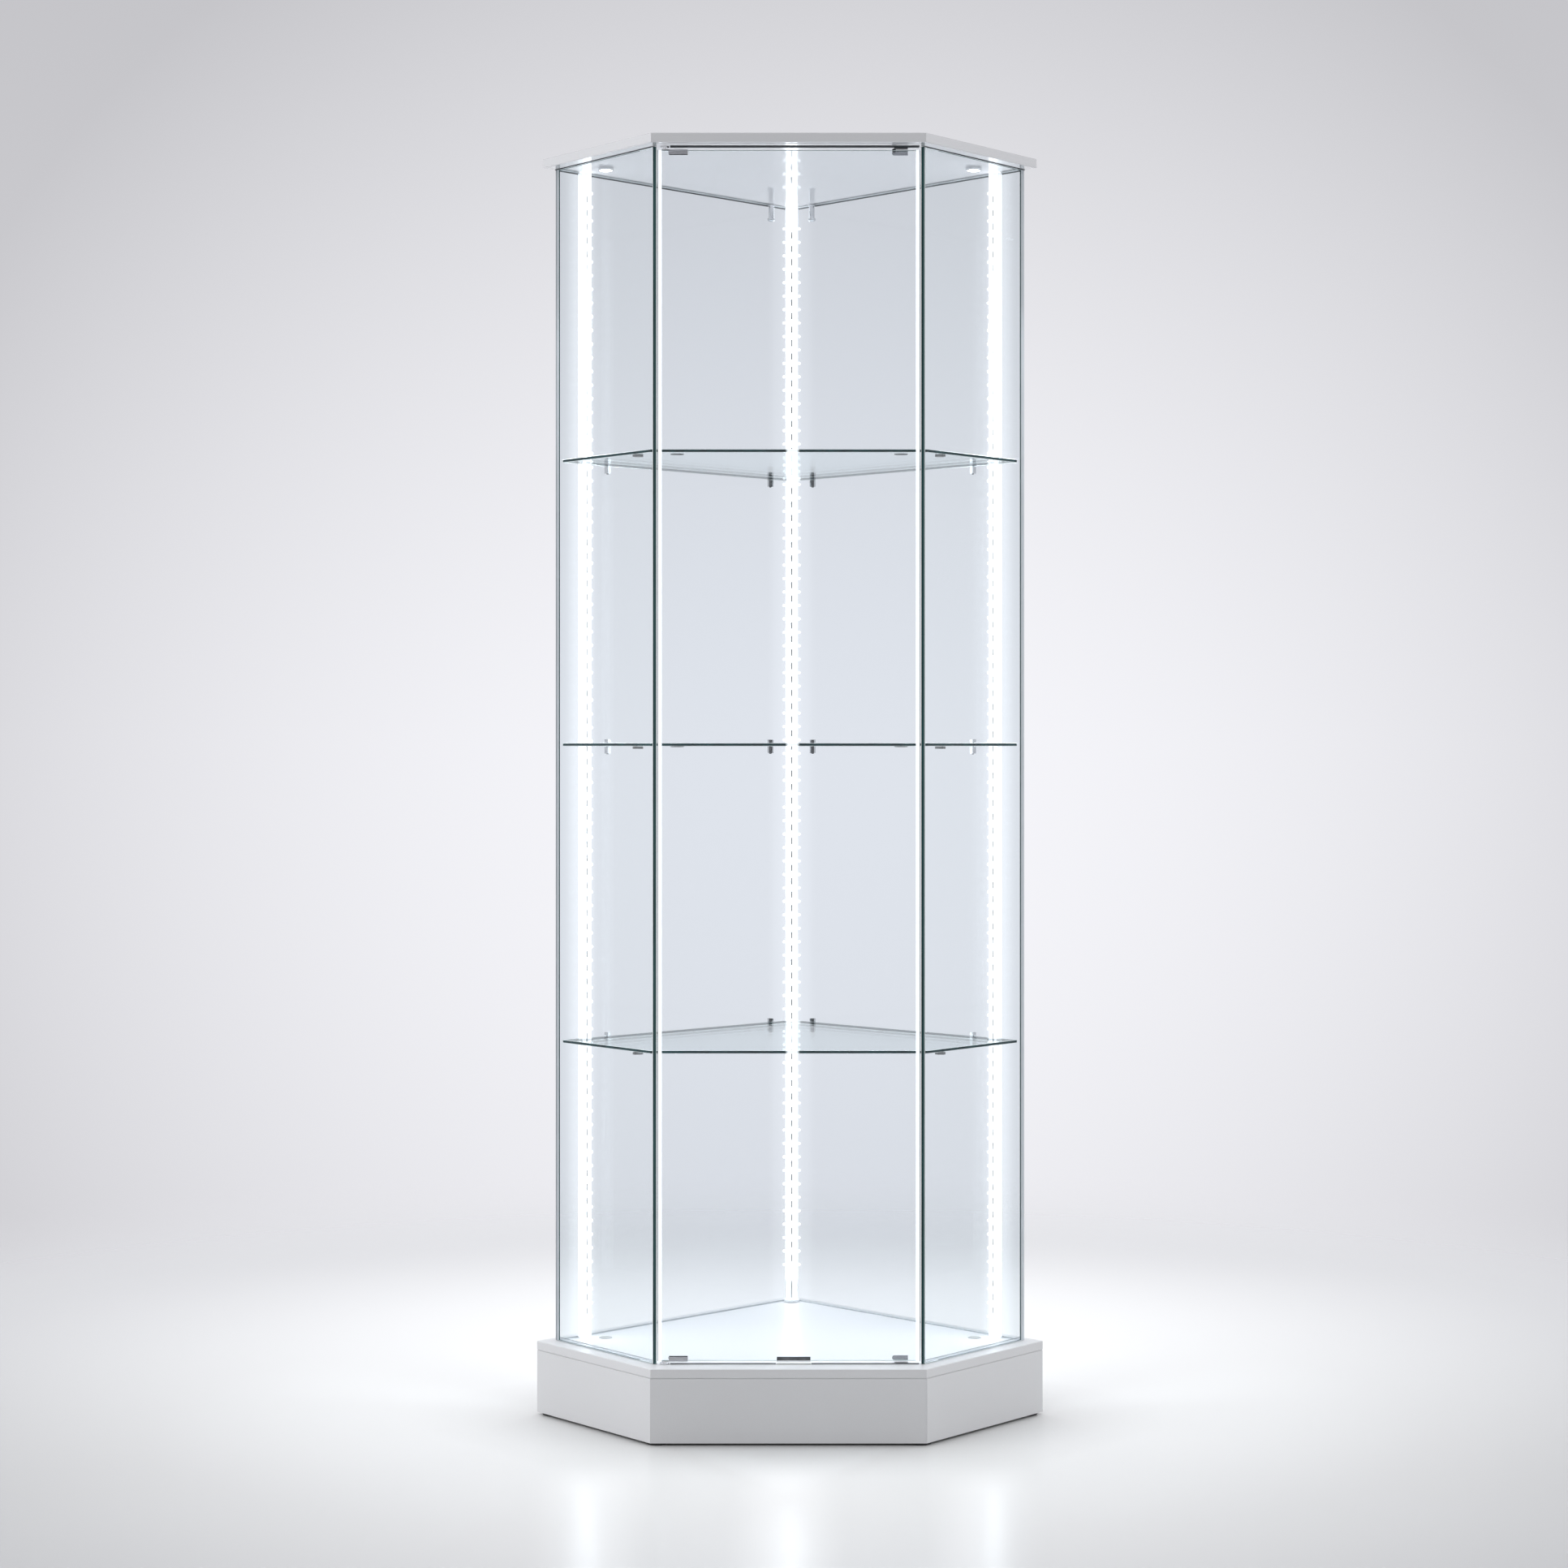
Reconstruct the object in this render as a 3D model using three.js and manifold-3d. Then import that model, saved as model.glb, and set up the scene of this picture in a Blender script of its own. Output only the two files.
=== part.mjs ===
// Corner curio cabinet: five glass walls on a white plinth, with a white top, three glass shelves,
// a pivoting glass door and vertical light bars. Millimetres, +Z up, the door faces -Y.
// The origin is at the middle of the plan's bounding box, on the floor.
import * as THREE from "three";
import { mergeVertices } from "three/addons/utils/BufferGeometryUtils.js";
import Module from "manifold-3d";

const wasm = await Module();
wasm.setup();

// Driving sizes of the glass body, measured over the glass's outer faces
const glassFrontWidth = 340;
const glassFullWidth = 608;
const glassSideDepth = 159;
const glassThickness = 4;
const glassArris = 0.4;

// Heights, from the floor up
const footHeight = 3;
const plinthHeight = 80;
const boardThickness = 12;
const totalHeight = 1626;

// How far the boards stand out from the glass, at the front, the splayed sides and the back
const baseOut = { front: 30.5, side: 20.5, back: 14.5 };
const topOut = { front: 29, side: 19, back: 3 };
const boardRound = 0.8;
const plinthThickness = 15;

// Clearances
const seat = 0.3;
const runGap = 1;
const overrun = 1;

// Round pieces
const roundSides = 20;

// Plan outline: each edge of the glass's outer outline is moved out by its own distance
const frontCorner = new THREE.Vector2(glassFrontWidth / 2, 0);
const sideCorner = new THREE.Vector2(glassFullWidth / 2, glassSideDepth);
const sideRun = sideCorner.clone().sub(frontCorner).normalize();
const edges = {
  front: { normal: new THREE.Vector2(0, -1), through: frontCorner },
  side: { normal: new THREE.Vector2(sideRun.y, -sideRun.x), through: frontCorner },
  back: { normal: new THREE.Vector2(Math.SQRT1_2, Math.SQRT1_2), through: sideCorner },
};

// Where two edges meet once each is moved out by its distance
function meet(a, outA, b, outB) {
  const reachA = a.normal.dot(a.through) + outA;
  const reachB = b.normal.dot(b.through) + outB;
  const cross = a.normal.cross(b.normal);
  return new THREE.Vector2(
    (reachA * b.normal.y - reachB * a.normal.y) / cross,
    (a.normal.x * reachB - b.normal.x * reachA) / cross,
  );
}

// The five corners, counter-clockwise from the front left one
function outline(out) {
  const front = meet(edges.front, out.front, edges.side, out.side);
  const side = meet(edges.side, out.side, edges.back, out.back);
  const back = new THREE.Vector2(0, side.y + side.x);
  return [mirrored(front), front, side, back, mirrored(side)];
}

function mirrored(p) {
  return new THREE.Vector2(-p.x, p.y);
}

// The same distance inwards all round, apart from the open front
function inwards(distance, front = 0) {
  return { front, side: -distance, back: -distance };
}

const glassOuter = outline(inwards(0));
const glassInner = outline(inwards(glassThickness));
const baseOutline = outline(baseOut);
const [, , , baseBack] = baseOutline;

// Levels that the pieces share
const plinthTop = footHeight + plinthHeight;
const floorLevel = plinthTop + boardThickness;
const ceilingLevel = totalHeight - boardThickness;

// Materials
function finish(color, roughness, metalness = 0) {
  return new THREE.MeshStandardMaterial({ color, roughness, metalness });
}
const whiteBoard = finish(0xe4e4e6, 0.42);
const clearGlass = finish(0xcfdcdc, 0.05);
clearGlass.transparent = true;
clearGlass.opacity = 0.35;
const chrome = finish(0xc9ccd0, 0.12, 1);
const darkMetal = finish(0x55585c, 0.35, 1);
const milkyPlastic = finish(0xf4f6f8, 0.4);
const lensPlastic = finish(0xffffff, 0.3);
const clearPlastic = finish(0xf2f6f7, 0.2);
const whiteNylon = finish(0xdcdcdc, 0.5);
const blackPlastic = finish(0x232325, 0.5);

const cabinet = new THREE.Group();
cabinet.name = "corner_curio_cabinet";
cabinet.position.y = (baseOut.front - baseBack.y) / 2;

function add(name, geometry, material, place = {}) {
  const mesh = new THREE.Mesh(geometry, material);
  mesh.name = name;
  mesh.position.set(place.x ?? 0, place.y ?? 0, place.z ?? 0);
  mesh.rotation.z = place.turn ?? 0;
  cabinet.add(mesh);
}

// Solid geometry
function prism(points, height, round = 0) {
  const geometry = new THREE.ExtrudeGeometry(new THREE.Shape(points), {
    depth: height - 2 * round,
    bevelEnabled: round > 0,
    bevelThickness: round,
    bevelSize: round,
    bevelOffset: -round,
    bevelSegments: 1,
  });
  return geometry.translate(0, 0, round);
}

function rectangle(x0, y0, x1, y1) {
  return [
    new THREE.Vector2(x0, y0),
    new THREE.Vector2(x1, y0),
    new THREE.Vector2(x1, y1),
    new THREE.Vector2(x0, y1),
  ];
}

// An outline of depth and height, drawn out along X to a width centred on zero
function bar(profile, width, round = 0) {
  const geometry = prism(profile, width, round).translate(0, 0, -width / 2);
  return geometry.applyMatrix4(
    new THREE.Matrix4().makeBasis(
      new THREE.Vector3(0, 1, 0),
      new THREE.Vector3(0, 0, 1),
      new THREE.Vector3(1, 0, 0),
    ),
  );
}

// An upright round solid from a list of [radius, height] pairs that starts and ends on the axis
function turned(profile) {
  const points = profile.map(([r, z]) => new THREE.Vector2(r, z));
  return new THREE.LatheGeometry(points, roundSides).rotateX(Math.PI / 2);
}

function rod(radius, z0, z1) {
  return turned([
    [0, z0],
    [radius, z0],
    [radius, z1],
    [0, z1],
  ]);
}

function toSolid(geometry) {
  const bare = geometry.index ? geometry.toNonIndexed() : geometry.clone();
  bare.deleteAttribute("normal");
  bare.deleteAttribute("uv");
  const merged = mergeVertices(bare);
  return new wasm.Manifold(
    new wasm.Mesh({
      numProp: 3,
      vertProperties: merged.attributes.position.array,
      triVerts: new Uint32Array(merged.index.array),
    }),
  );
}

function toGeometry(solid) {
  const mesh = solid.getMesh();
  const geometry = new THREE.BufferGeometry();
  geometry.setAttribute("position", new THREE.BufferAttribute(mesh.vertProperties, 3));
  geometry.setIndex(new THREE.BufferAttribute(mesh.triVerts, 1));
  geometry.computeVertexNormals();
  return geometry;
}

function cut(body, ...tools) {
  return toGeometry(tools.reduce((left, tool) => left.subtract(toSolid(tool)), toSolid(body)));
}

function join(body, ...others) {
  return toGeometry(others.reduce((sum, other) => sum.add(toSolid(other)), toSolid(body)));
}

// A place on a wall's inner face, a distance from one corner towards another on the right-hand half.
// Local +Y points into the cabinet. hand is 1 on the right and -1 on the left.
function onWall(from, to, distance, hand) {
  const run = to.clone().sub(from).normalize();
  const point = from.clone().addScaledVector(run, distance);
  const inward = new THREE.Vector2(-run.y, run.x);
  if (inward.x > 0) inward.negate();
  return { x: hand * point.x, y: point.y, turn: Math.atan2(inward.y, hand * inward.x) - Math.PI / 2 };
}

const hands = { left: -1, right: 1 };
const [, innerFront, innerSide, innerBack] = glassInner;

// One upright panel between two corners of an outer and an inner outline, trimmed at each mitre
function wallPanel(outer, inner, index, height, round, trimStart, trimEnd) {
  const next = (index + 1) % outer.length;
  const run = outer[next].clone().sub(outer[index]).normalize();
  const points = [
    outer[index].clone().addScaledVector(run, trimStart),
    outer[next].clone().addScaledVector(run, -trimEnd),
    inner[next].clone().addScaledVector(run, -trimEnd),
    inner[index].clone().addScaledVector(run, trimStart),
  ];
  return prism(points, height, round);
}

// Plinth: five mitred boards, flush with the edge of the base board
const plinthInner = outline({
  front: baseOut.front - plinthThickness,
  side: baseOut.side - plinthThickness,
  back: baseOut.back - plinthThickness,
});
const plinthBoards = [
  "plinth_front",
  "plinth_right",
  "plinth_back_right",
  "plinth_back_left",
  "plinth_left",
];
const inletAlong = 190;
const inletHeight = 42;
const inletRadius = 6;
const inletCollar = 9;
const inletCollarThickness = 2;
const inletDepth = 20;
const inletBore = 3;
const inletBoreDepth = 12;
const inletRecess = seat + inletCollarThickness + seat;
const [, , outerSide, outerBack] = baseOutline;
const inletPlace = onWall(outerSide, outerBack, inletAlong, -1);
for (const [index, name] of plinthBoards.entries()) {
  const panel = wallPanel(baseOutline, plinthInner, index, plinthHeight - seat, 0, seat, seat);
  if (name === "plinth_back_left") {
    const holes = [
      rod(inletRadius + seat, -overrun, plinthThickness + overrun),
      rod(inletCollar + seat, -overrun, inletRecess),
    ].map((hole) =>
      hole
        .rotateX(-Math.PI / 2)
        .rotateZ(inletPlace.turn)
        .translate(inletPlace.x, inletPlace.y, inletHeight - footHeight),
    );
    add(name, cut(panel, ...holes), whiteBoard, { z: footHeight });
  } else add(name, panel, whiteBoard, { z: footHeight });
}

// Low-voltage inlet through the back left plinth board, its collar let in and its socket facing out
const inletBody = turned([
  [0, inletBoreDepth],
  [inletBore, inletBoreDepth],
  [inletBore, seat],
  [inletCollar, seat],
  [inletCollar, seat + inletCollarThickness],
  [inletRadius, seat + inletCollarThickness],
  [inletRadius, inletDepth],
  [0, inletDepth],
]).rotateX(-Math.PI / 2);
add("dc_inlet", inletBody, blackPlastic, { ...inletPlace, z: inletHeight });

// Glides: a low nylon disc under each corner of the plinth
const glideRadius = 13;
const glideRound = 0.6;
const glideInset = 15;
const glideNames = ["foot_front_left", "foot_front_right", "foot_right", "foot_back", "foot_left"];
const glideOutline = outline({
  front: baseOut.front - glideInset,
  side: baseOut.side - glideInset,
  back: baseOut.back - glideInset,
});
glideNames.forEach((name, i) => {
  const disc = turned([
    [0, 0],
    [glideRadius - glideRound, 0],
    [glideRadius, glideRound],
    [glideRadius, footHeight - seat],
    [0, footHeight - seat],
  ]);
  add(name, disc, blackPlastic, { x: glideOutline[i].x, y: glideOutline[i].y });
});

// Glass walls: mitred panels between the base board and the top board
const glassHeight = ceilingLevel - floorLevel - 2 * seat;
const glassBase = floorLevel + seat;
const mitreGap = seat / 2;
const glassWalls = {
  side_glass_right: { index: 1, start: 0, end: mitreGap },
  back_glass_right: { index: 2, start: mitreGap, end: mitreGap },
  back_glass_left: { index: 3, start: mitreGap, end: mitreGap },
  side_glass_left: { index: 4, start: mitreGap, end: 0 },
};
for (const [name, wall] of Object.entries(glassWalls)) {
  const panel = wallPanel(
    glassOuter, glassInner, wall.index, glassHeight, glassArris, wall.start, wall.end,
  );
  add(name, panel, clearGlass, { z: glassBase });
}

// Door: a clear panel that fills the front between the side glasses
const sealThickness = 0.8;
const sealCheek = 4.2;
const doorSideGap = 1;
const doorHalf = innerFront.x - doorSideGap - sealThickness - seat;
const doorMid = glassThickness / 2;

// Pivot hinge sizes: bushings sit in the boards, and pins stand on the clamps
const pivotFromEdge = 7.5;
const pinRadius = 2;
const pinClearance = 0.3;
const bushWall = 2;
const bushDepth = 8;
const flangeRadius = 6;
const flangeThickness = 1.5;
const clampWeb = 1.2;
const clampCheek = 5.5;
const clampLength = 23.5;
const clampFromSeal = 9;
const clampFaces = glassThickness + 2 * (seat + clampWeb);
const tongueWidth = 7;
const doorEndGap = seat + flangeThickness + runGap + clampWeb + seat;
const doorBottom = floorLevel + doorEndGap;
const doorTop = ceilingLevel - doorEndGap;
const pivotX = -doorHalf + pivotFromEdge;
const doorPanel = prism(
  rectangle(-doorHalf, 0, doorHalf, glassThickness), doorTop - doorBottom, glassArris,
);
add("door_glass", doorPanel, clearGlass, { z: doorBottom });

// Edge seals: clear channels pushed onto the long edges of the door
function sealProfile(side) {
  const web = doorHalf + seat + sealThickness;
  const lip = web - sealThickness - sealCheek;
  const outerY = seat + sealThickness;
  const points = [
    [lip, -outerY],
    [web, -outerY],
    [web, glassThickness + outerY],
    [lip, glassThickness + outerY],
    [lip, glassThickness + seat],
    [web - sealThickness, glassThickness + seat],
    [web - sealThickness, -seat],
    [lip, -seat],
  ];
  return points.map(([x, y]) => new THREE.Vector2(side * x, y));
}
for (const [side, hand] of Object.entries(hands))
  add("door_seal_" + side, prism(sealProfile(hand), doorTop - doorBottom), clearPlastic, { z: doorBottom });

// Door clamps: chrome channels over the glass's ends, each with a tongue that carries the pivot pin
const sealLip = doorHalf + seat - sealCheek;
const clampMidX = -sealLip + clampFromSeal + clampLength / 2;
function clampBody() {
  const half = clampFaces / 2;
  const slot = glassThickness / 2 + seat;
  const channel = bar(
    [
      new THREE.Vector2(-half, -clampCheek),
      new THREE.Vector2(-slot, -clampCheek),
      new THREE.Vector2(-slot, 0),
      new THREE.Vector2(slot, 0),
      new THREE.Vector2(slot, -clampCheek),
      new THREE.Vector2(half, -clampCheek),
      new THREE.Vector2(half, clampWeb),
      new THREE.Vector2(-half, clampWeb),
    ],
    clampLength,
  );
  const pinX = pivotX - clampMidX;
  const tongueEnd = clampLength / 2 - overrun;
  const tongue = prism(rectangle(pinX, -tongueWidth / 2, tongueEnd, tongueWidth / 2), clampWeb);
  const eye = rod(tongueWidth / 2, 0, clampWeb).translate(pinX, 0, 0);
  const pinTop = clampWeb + runGap + flangeThickness + seat + bushDepth - overrun;
  const pin = rod(pinRadius, 0, pinTop).translate(pinX, 0, 0);
  return join(channel, tongue, eye, pin);
}
const clampPlace = { x: clampMidX, y: doorMid };
add("door_clamp_top", clampBody(), chrome, { ...clampPlace, z: doorTop + seat });
add("door_clamp_bottom", clampBody().rotateX(Math.PI), chrome, { ...clampPlace, z: doorBottom - seat });

// Hinge bushings: flanged sleeves pressed into the boards, bored for the pins
function bushing() {
  return turned([
    [pinRadius + pinClearance, 0],
    [flangeRadius, 0],
    [flangeRadius, flangeThickness],
    [pinRadius + pinClearance + bushWall, flangeThickness],
    [pinRadius + pinClearance + bushWall, flangeThickness + seat + bushDepth],
    [pinRadius + pinClearance, flangeThickness + seat + bushDepth],
    [pinRadius + pinClearance, 0],
  ]);
}
const bushPlace = { x: pivotX, y: doorMid };
add("hinge_bushing_top", bushing(), chrome, {
  ...bushPlace,
  z: ceilingLevel - seat - flangeThickness,
});
add("hinge_bushing_bottom", bushing().rotateX(Math.PI), chrome, {
  ...bushPlace,
  z: floorLevel + seat + flangeThickness,
});

// A blind hole for a bushing, its mouth at zero and its depth along +Z or -Z
function bushHole(direction) {
  const radius = pinRadius + pinClearance + bushWall + seat;
  const depth = bushDepth + seat;
  const ends = [-overrun * direction, depth * direction].sort((a, b) => a - b);
  return rod(radius, ends[0], ends[1]).translate(pivotX, doorMid, 0);
}

// Magnet catch in the base board under the middle of the door, and its strike on the door's edge
const catchLength = 42;
const catchX = 6;
const catchWidth = 7;
const catchDepth = 7;
const catchProud = 0.8;
const strikeCheek = 4.5;
const strikeWeb = 0.8;
const pocketWidth = catchWidth + 2 * seat;
const magnet = prism(
  rectangle(-catchLength / 2, -catchWidth / 2, catchLength / 2, catchWidth / 2), catchDepth, glassArris,
);
add("magnet_catch", magnet, whiteNylon, {
  x: catchX,
  y: doorMid,
  z: floorLevel + catchProud - catchDepth,
});
const strikeSlot = glassThickness / 2 + seat;
const strikeHalf = strikeSlot + strikeWeb;
const strike = bar(
  [
    new THREE.Vector2(-strikeHalf, -strikeWeb),
    new THREE.Vector2(strikeHalf, -strikeWeb),
    new THREE.Vector2(strikeHalf, strikeCheek),
    new THREE.Vector2(strikeSlot, strikeCheek),
    new THREE.Vector2(strikeSlot, 0),
    new THREE.Vector2(-strikeSlot, 0),
    new THREE.Vector2(-strikeSlot, strikeCheek),
    new THREE.Vector2(-strikeHalf, strikeCheek),
  ],
  catchLength,
);
add("strike_plate", strike, darkMetal, { x: catchX, y: doorMid, z: doorBottom - seat });

// Door stops: small angles at the free edge, behind the glass, each with a round buffer
const stopLength = 17;
const stopFromEdge = 14;
const stopPlate = 1.5;
const stopLeg = 9;
const stopBufferRadius = 2.8;
const stopBufferGap = 0.6;
const stopDrop = doorEndGap + clampCheek;
function stopBody() {
  const back = glassThickness + stopBufferGap;
  const upright = rectangle(back, -stopDrop, back + stopPlate, 0);
  const foot = rectangle(back, -stopPlate, back + stopLeg, 0);
  const buffer = rod(stopBufferRadius, 0, stopPlate)
    .rotateX(-Math.PI / 2)
    .translate(-stopLength / 2, back, -stopDrop + stopBufferRadius);
  return join(bar(upright, stopLength), bar(foot, stopLength), buffer);
}
const stopX = doorHalf - stopFromEdge - stopLength / 2;
add("door_stop_top", stopBody(), chrome, { x: stopX, z: ceilingLevel - seat });
const lowerStop = stopBody().scale(1, 1, -1);
lowerStop.index.array.reverse();
add("door_stop_bottom", lowerStop, chrome, { x: stopX, z: floorLevel + seat });

// Light bars: milky channels with a lens, on the back glasses and in the back corner
const barWidth = 16;
const barDepth = 8;
const barWall = 1.2;
const barFromSide = 39;
const lensThickness = 2;
const barHeight = glassHeight - 2 * seat;
const barBase = glassBase + seat;
const barHalf = barWidth / 2;
const lensHalf = barHalf - barWall - seat;
const channelProfile = [
  [-barHalf, seat],
  [barHalf, seat],
  [barHalf, seat + barDepth],
  [barHalf - barWall, seat + barDepth],
  [barHalf - barWall, seat + barWall],
  [-barHalf + barWall, seat + barWall],
  [-barHalf + barWall, seat + barDepth],
  [-barHalf, seat + barDepth],
].map(([x, y]) => new THREE.Vector2(x, y));
const barPlaces = {};
for (const [side, hand] of Object.entries(hands)) {
  const place = onWall(innerSide, innerBack, barFromSide, hand);
  barPlaces[side] = place;
  const lensFace = seat + barDepth;
  const lens = prism(rectangle(-lensHalf, lensFace - lensThickness, lensHalf, lensFace), barHeight);
  add("led_channel_" + side, prism(channelProfile, barHeight), milkyPlastic, { ...place, z: barBase });
  add("led_lens_" + side, lens, lensPlastic, { ...place, z: barBase });
}

// The corner light bar is a right-angled channel whose mouth looks out of the corner
const cornerFace = 18;
const cornerFootRadius = 10.5;
const cornerFootHeight = 3;
const cornerApex = innerBack.y - seat * Math.SQRT2;
const cornerHalf = cornerFace / 2;
const cornerMouth = cornerHalf - barWall * Math.SQRT2;
const cornerLensHalf = cornerMouth - seat * Math.SQRT2;
const cornerChannel = [
  [-cornerHalf, -cornerHalf],
  [-cornerMouth, -cornerHalf],
  [0, cornerMouth - cornerHalf],
  [cornerMouth, -cornerHalf],
  [cornerHalf, -cornerHalf],
  [0, 0],
].map(([x, y]) => new THREE.Vector2(x, y));
const cornerFootBack = cornerFootRadius * Math.SQRT2;
const cornerFoot = rod(cornerFootRadius, 0, cornerFootHeight).translate(0, -cornerFootBack, 0);
add("led_channel_back", join(prism(cornerChannel, barHeight), cornerFoot), milkyPlastic, {
  y: cornerApex,
  z: barBase,
});
const cornerLensProfile = [
  [-cornerLensHalf, -cornerHalf],
  [cornerLensHalf, -cornerHalf],
  [cornerLensHalf - lensThickness, lensThickness - cornerHalf],
  [lensThickness - cornerLensHalf, lensThickness - cornerHalf],
].map(([x, y]) => new THREE.Vector2(x, y));
const cornerLens = prism(cornerLensProfile, barHeight - cornerFootHeight - seat);
add("led_lens_back", cornerLens, lensPlastic, {
  y: cornerApex,
  z: barBase + cornerFootHeight + seat,
});

// Shelves: clear glass with notches round the side light bars and a cut corner for the corner one
const shelfThickness = 4;
const shelfHeights = { lower: 388, middle: 773, upper: 1141 };
const shelfFront = 15;
const shelfWallGap = 3;
const barClearance = 1.5;
const shelfOutline = outline(inwards(glassThickness + shelfWallGap, -shelfFront));
const [shelfLeftFront, shelfRightFront, shelfRight, shelfBack, shelfLeft] = shelfOutline;
const shelfCut = cornerApex - cornerHalf - barClearance;
const cutHalf = shelfBack.y - shelfCut;
const shelfPoints = [
  shelfLeftFront,
  shelfRightFront,
  shelfRight,
  new THREE.Vector2(cutHalf, shelfCut),
  new THREE.Vector2(-cutHalf, shelfCut),
  shelfLeft,
];
const notchHalf = barHalf + barClearance;
const notchDepth = seat + barDepth + barClearance;
const notches = Object.values(barPlaces).map((place) =>
  prism(rectangle(-notchHalf, 0, notchHalf, notchDepth), shelfThickness + 2 * overrun)
    .rotateZ(place.turn)
    .translate(place.x, place.y, -overrun),
);
const shelfBody = cut(prism(shelfPoints, shelfThickness, glassArris), ...notches);
for (const [level, height] of Object.entries(shelfHeights))
  add("shelf_" + level, shelfBody.clone(), clearGlass, { z: floorLevel + height - shelfThickness / 2 });

// Shelf supports: gripping clips on the back glasses, and round pads on studs on the side glasses
const clipSpine = 1.2;
const clipWidth = 6;
const clipReach = 7;
const clipAbove = 4.5;
const clipBelow = 9.5;
const clipRound = 0.5;
const clipFromBack = 45;
const clipFromSide = 79;
const padRadius = 6;
const padThickness = 3;
const padStudWidth = 5;
const padWallGap = 1.6;
const padFromFront = 48;
function clipBody() {
  const half = shelfThickness / 2 + seat;
  const profile = [
    [seat, -half - clipBelow],
    [clipReach, -half - clipBelow],
    [clipReach, -half],
    [seat + clipSpine, -half],
    [seat + clipSpine, half],
    [clipReach, half],
    [clipReach, half + clipAbove],
    [seat, half + clipAbove],
  ].map(([y, z]) => new THREE.Vector2(y, z));
  return bar(profile, clipWidth, clipRound);
}
function padBody() {
  const top = -shelfThickness / 2 - seat;
  const middle = padWallGap + padRadius;
  const disc = rod(padRadius, top - padThickness, top).translate(0, middle, 0);
  return join(disc, bar(rectangle(seat, top - padThickness, middle, top), padStudWidth));
}
const supports = {
  corner_clip: { body: clipBody, finish: chrome, from: innerBack, to: innerSide, along: clipFromBack },
  back_clip: { body: clipBody, finish: chrome, from: innerSide, to: innerBack, along: clipFromSide },
  front_pad: { body: padBody, finish: darkMetal, from: innerFront, to: innerSide, along: padFromFront },
};
for (const [kind, support] of Object.entries(supports))
  for (const [level, height] of Object.entries(shelfHeights))
    for (const [side, hand] of Object.entries(hands))
      add(`${kind}_${level}_${side}`, support.body(), support.finish, {
        ...onWall(support.from, support.to, support.along, hand),
        z: floorLevel + height,
      });

// Connectors: short chrome studs that tie the back glasses to the top board
const connectorRadius = 3.7;
const connectorLength = 22;
const connectorFlange = 5;
const connectorFlangeThickness = 2;
for (const [side, hand] of Object.entries(hands)) {
  const stud = turned([
    [0, -connectorLength],
    [connectorRadius, -connectorLength],
    [connectorRadius, -connectorFlangeThickness],
    [connectorFlange, -connectorFlangeThickness],
    [connectorFlange, 0],
    [0, 0],
  ]).translate(0, connectorFlange + seat, 0);
  add("top_connector_" + side, stud, chrome, {
    ...onWall(innerBack, innerSide, clipFromBack, hand),
    z: ceilingLevel - seat,
  });
}

// Ceiling lamps: small round spots let into the top board
const lampRadius = 10;
const lampRim = 1.6;
const lampProud = 3;
const lampFromSide = 66;
const lampForward = 13;
const lampX = sideCorner.x - lampFromSide;
const lampY = sideCorner.y - lampForward;
const lampBodyRadius = 8;
const lampBodyDepth = 6;
const lampRecess = 0.8;
for (const [side, hand] of Object.entries(hands)) {
  const lamp = turned([
    [0, -lampProud + lampRecess],
    [lampRadius - lampRim, -lampProud + lampRecess],
    [lampRadius - lampRim, -lampProud],
    [lampRadius, -lampProud],
    [lampRadius, 0],
    [lampBodyRadius, 0],
    [lampBodyRadius, lampBodyDepth],
    [0, lampBodyDepth],
  ]);
  add("ceiling_lamp_" + side, lamp, chrome, { x: hand * lampX, y: lampY, z: ceilingLevel - seat });
}

// Base board: pocket for the magnet, blind holes for the bushing, and cable holes under the light bars
const cableHoleRadius = 3;
const cableHoleIn = seat + barDepth / 2;
function cableHole(place, inward) {
  return rod(cableHoleRadius, -overrun, boardThickness + overrun)
    .translate(0, inward, 0)
    .rotateZ(place.turn)
    .translate(place.x, place.y, 0);
}
const pocket = prism(
  rectangle(-catchLength / 2 - seat, -pocketWidth / 2, catchLength / 2 + seat, pocketWidth / 2),
  catchDepth - catchProud + seat + overrun,
).translate(catchX, doorMid, boardThickness - catchDepth + catchProud - seat);
const baseBody = cut(
  prism(baseOutline, boardThickness - seat, boardRound).translate(0, 0, seat),
  pocket,
  bushHole(-1).translate(0, 0, boardThickness),
  ...Object.values(barPlaces).map((place) => cableHole(place, cableHoleIn)),
);
add("base_board", baseBody, whiteBoard, { z: plinthTop });

// Top board: blind holes for the bushing and the ceiling lamps
const lampHoles = Object.values(hands).map((hand) =>
  rod(lampBodyRadius + seat, -overrun, lampBodyDepth + seat).translate(hand * lampX, lampY, 0),
);
const topBody = cut(prism(outline(topOut), boardThickness, boardRound), bushHole(1), ...lampHoles);
add("top_board", topBody, whiteBoard, { z: ceilingLevel });

// LED driver: a box screwed up under the base board, behind the plinth's back boards
const driverLength = 120;
const driverWidth = 44;
const driverHeight = 30;
const driverRound = 1.5;
const driverY = 330;
const driverBody = prism(
  rectangle(-driverLength / 2, -driverWidth / 2, driverLength / 2, driverWidth / 2),
  driverHeight,
  driverRound,
);
add("led_driver", driverBody, blackPlastic, { y: driverY, z: plinthTop - driverHeight });

export default cabinet;
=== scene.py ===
import math

import bmesh
import bpy
from mathutils import Matrix, Vector


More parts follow.
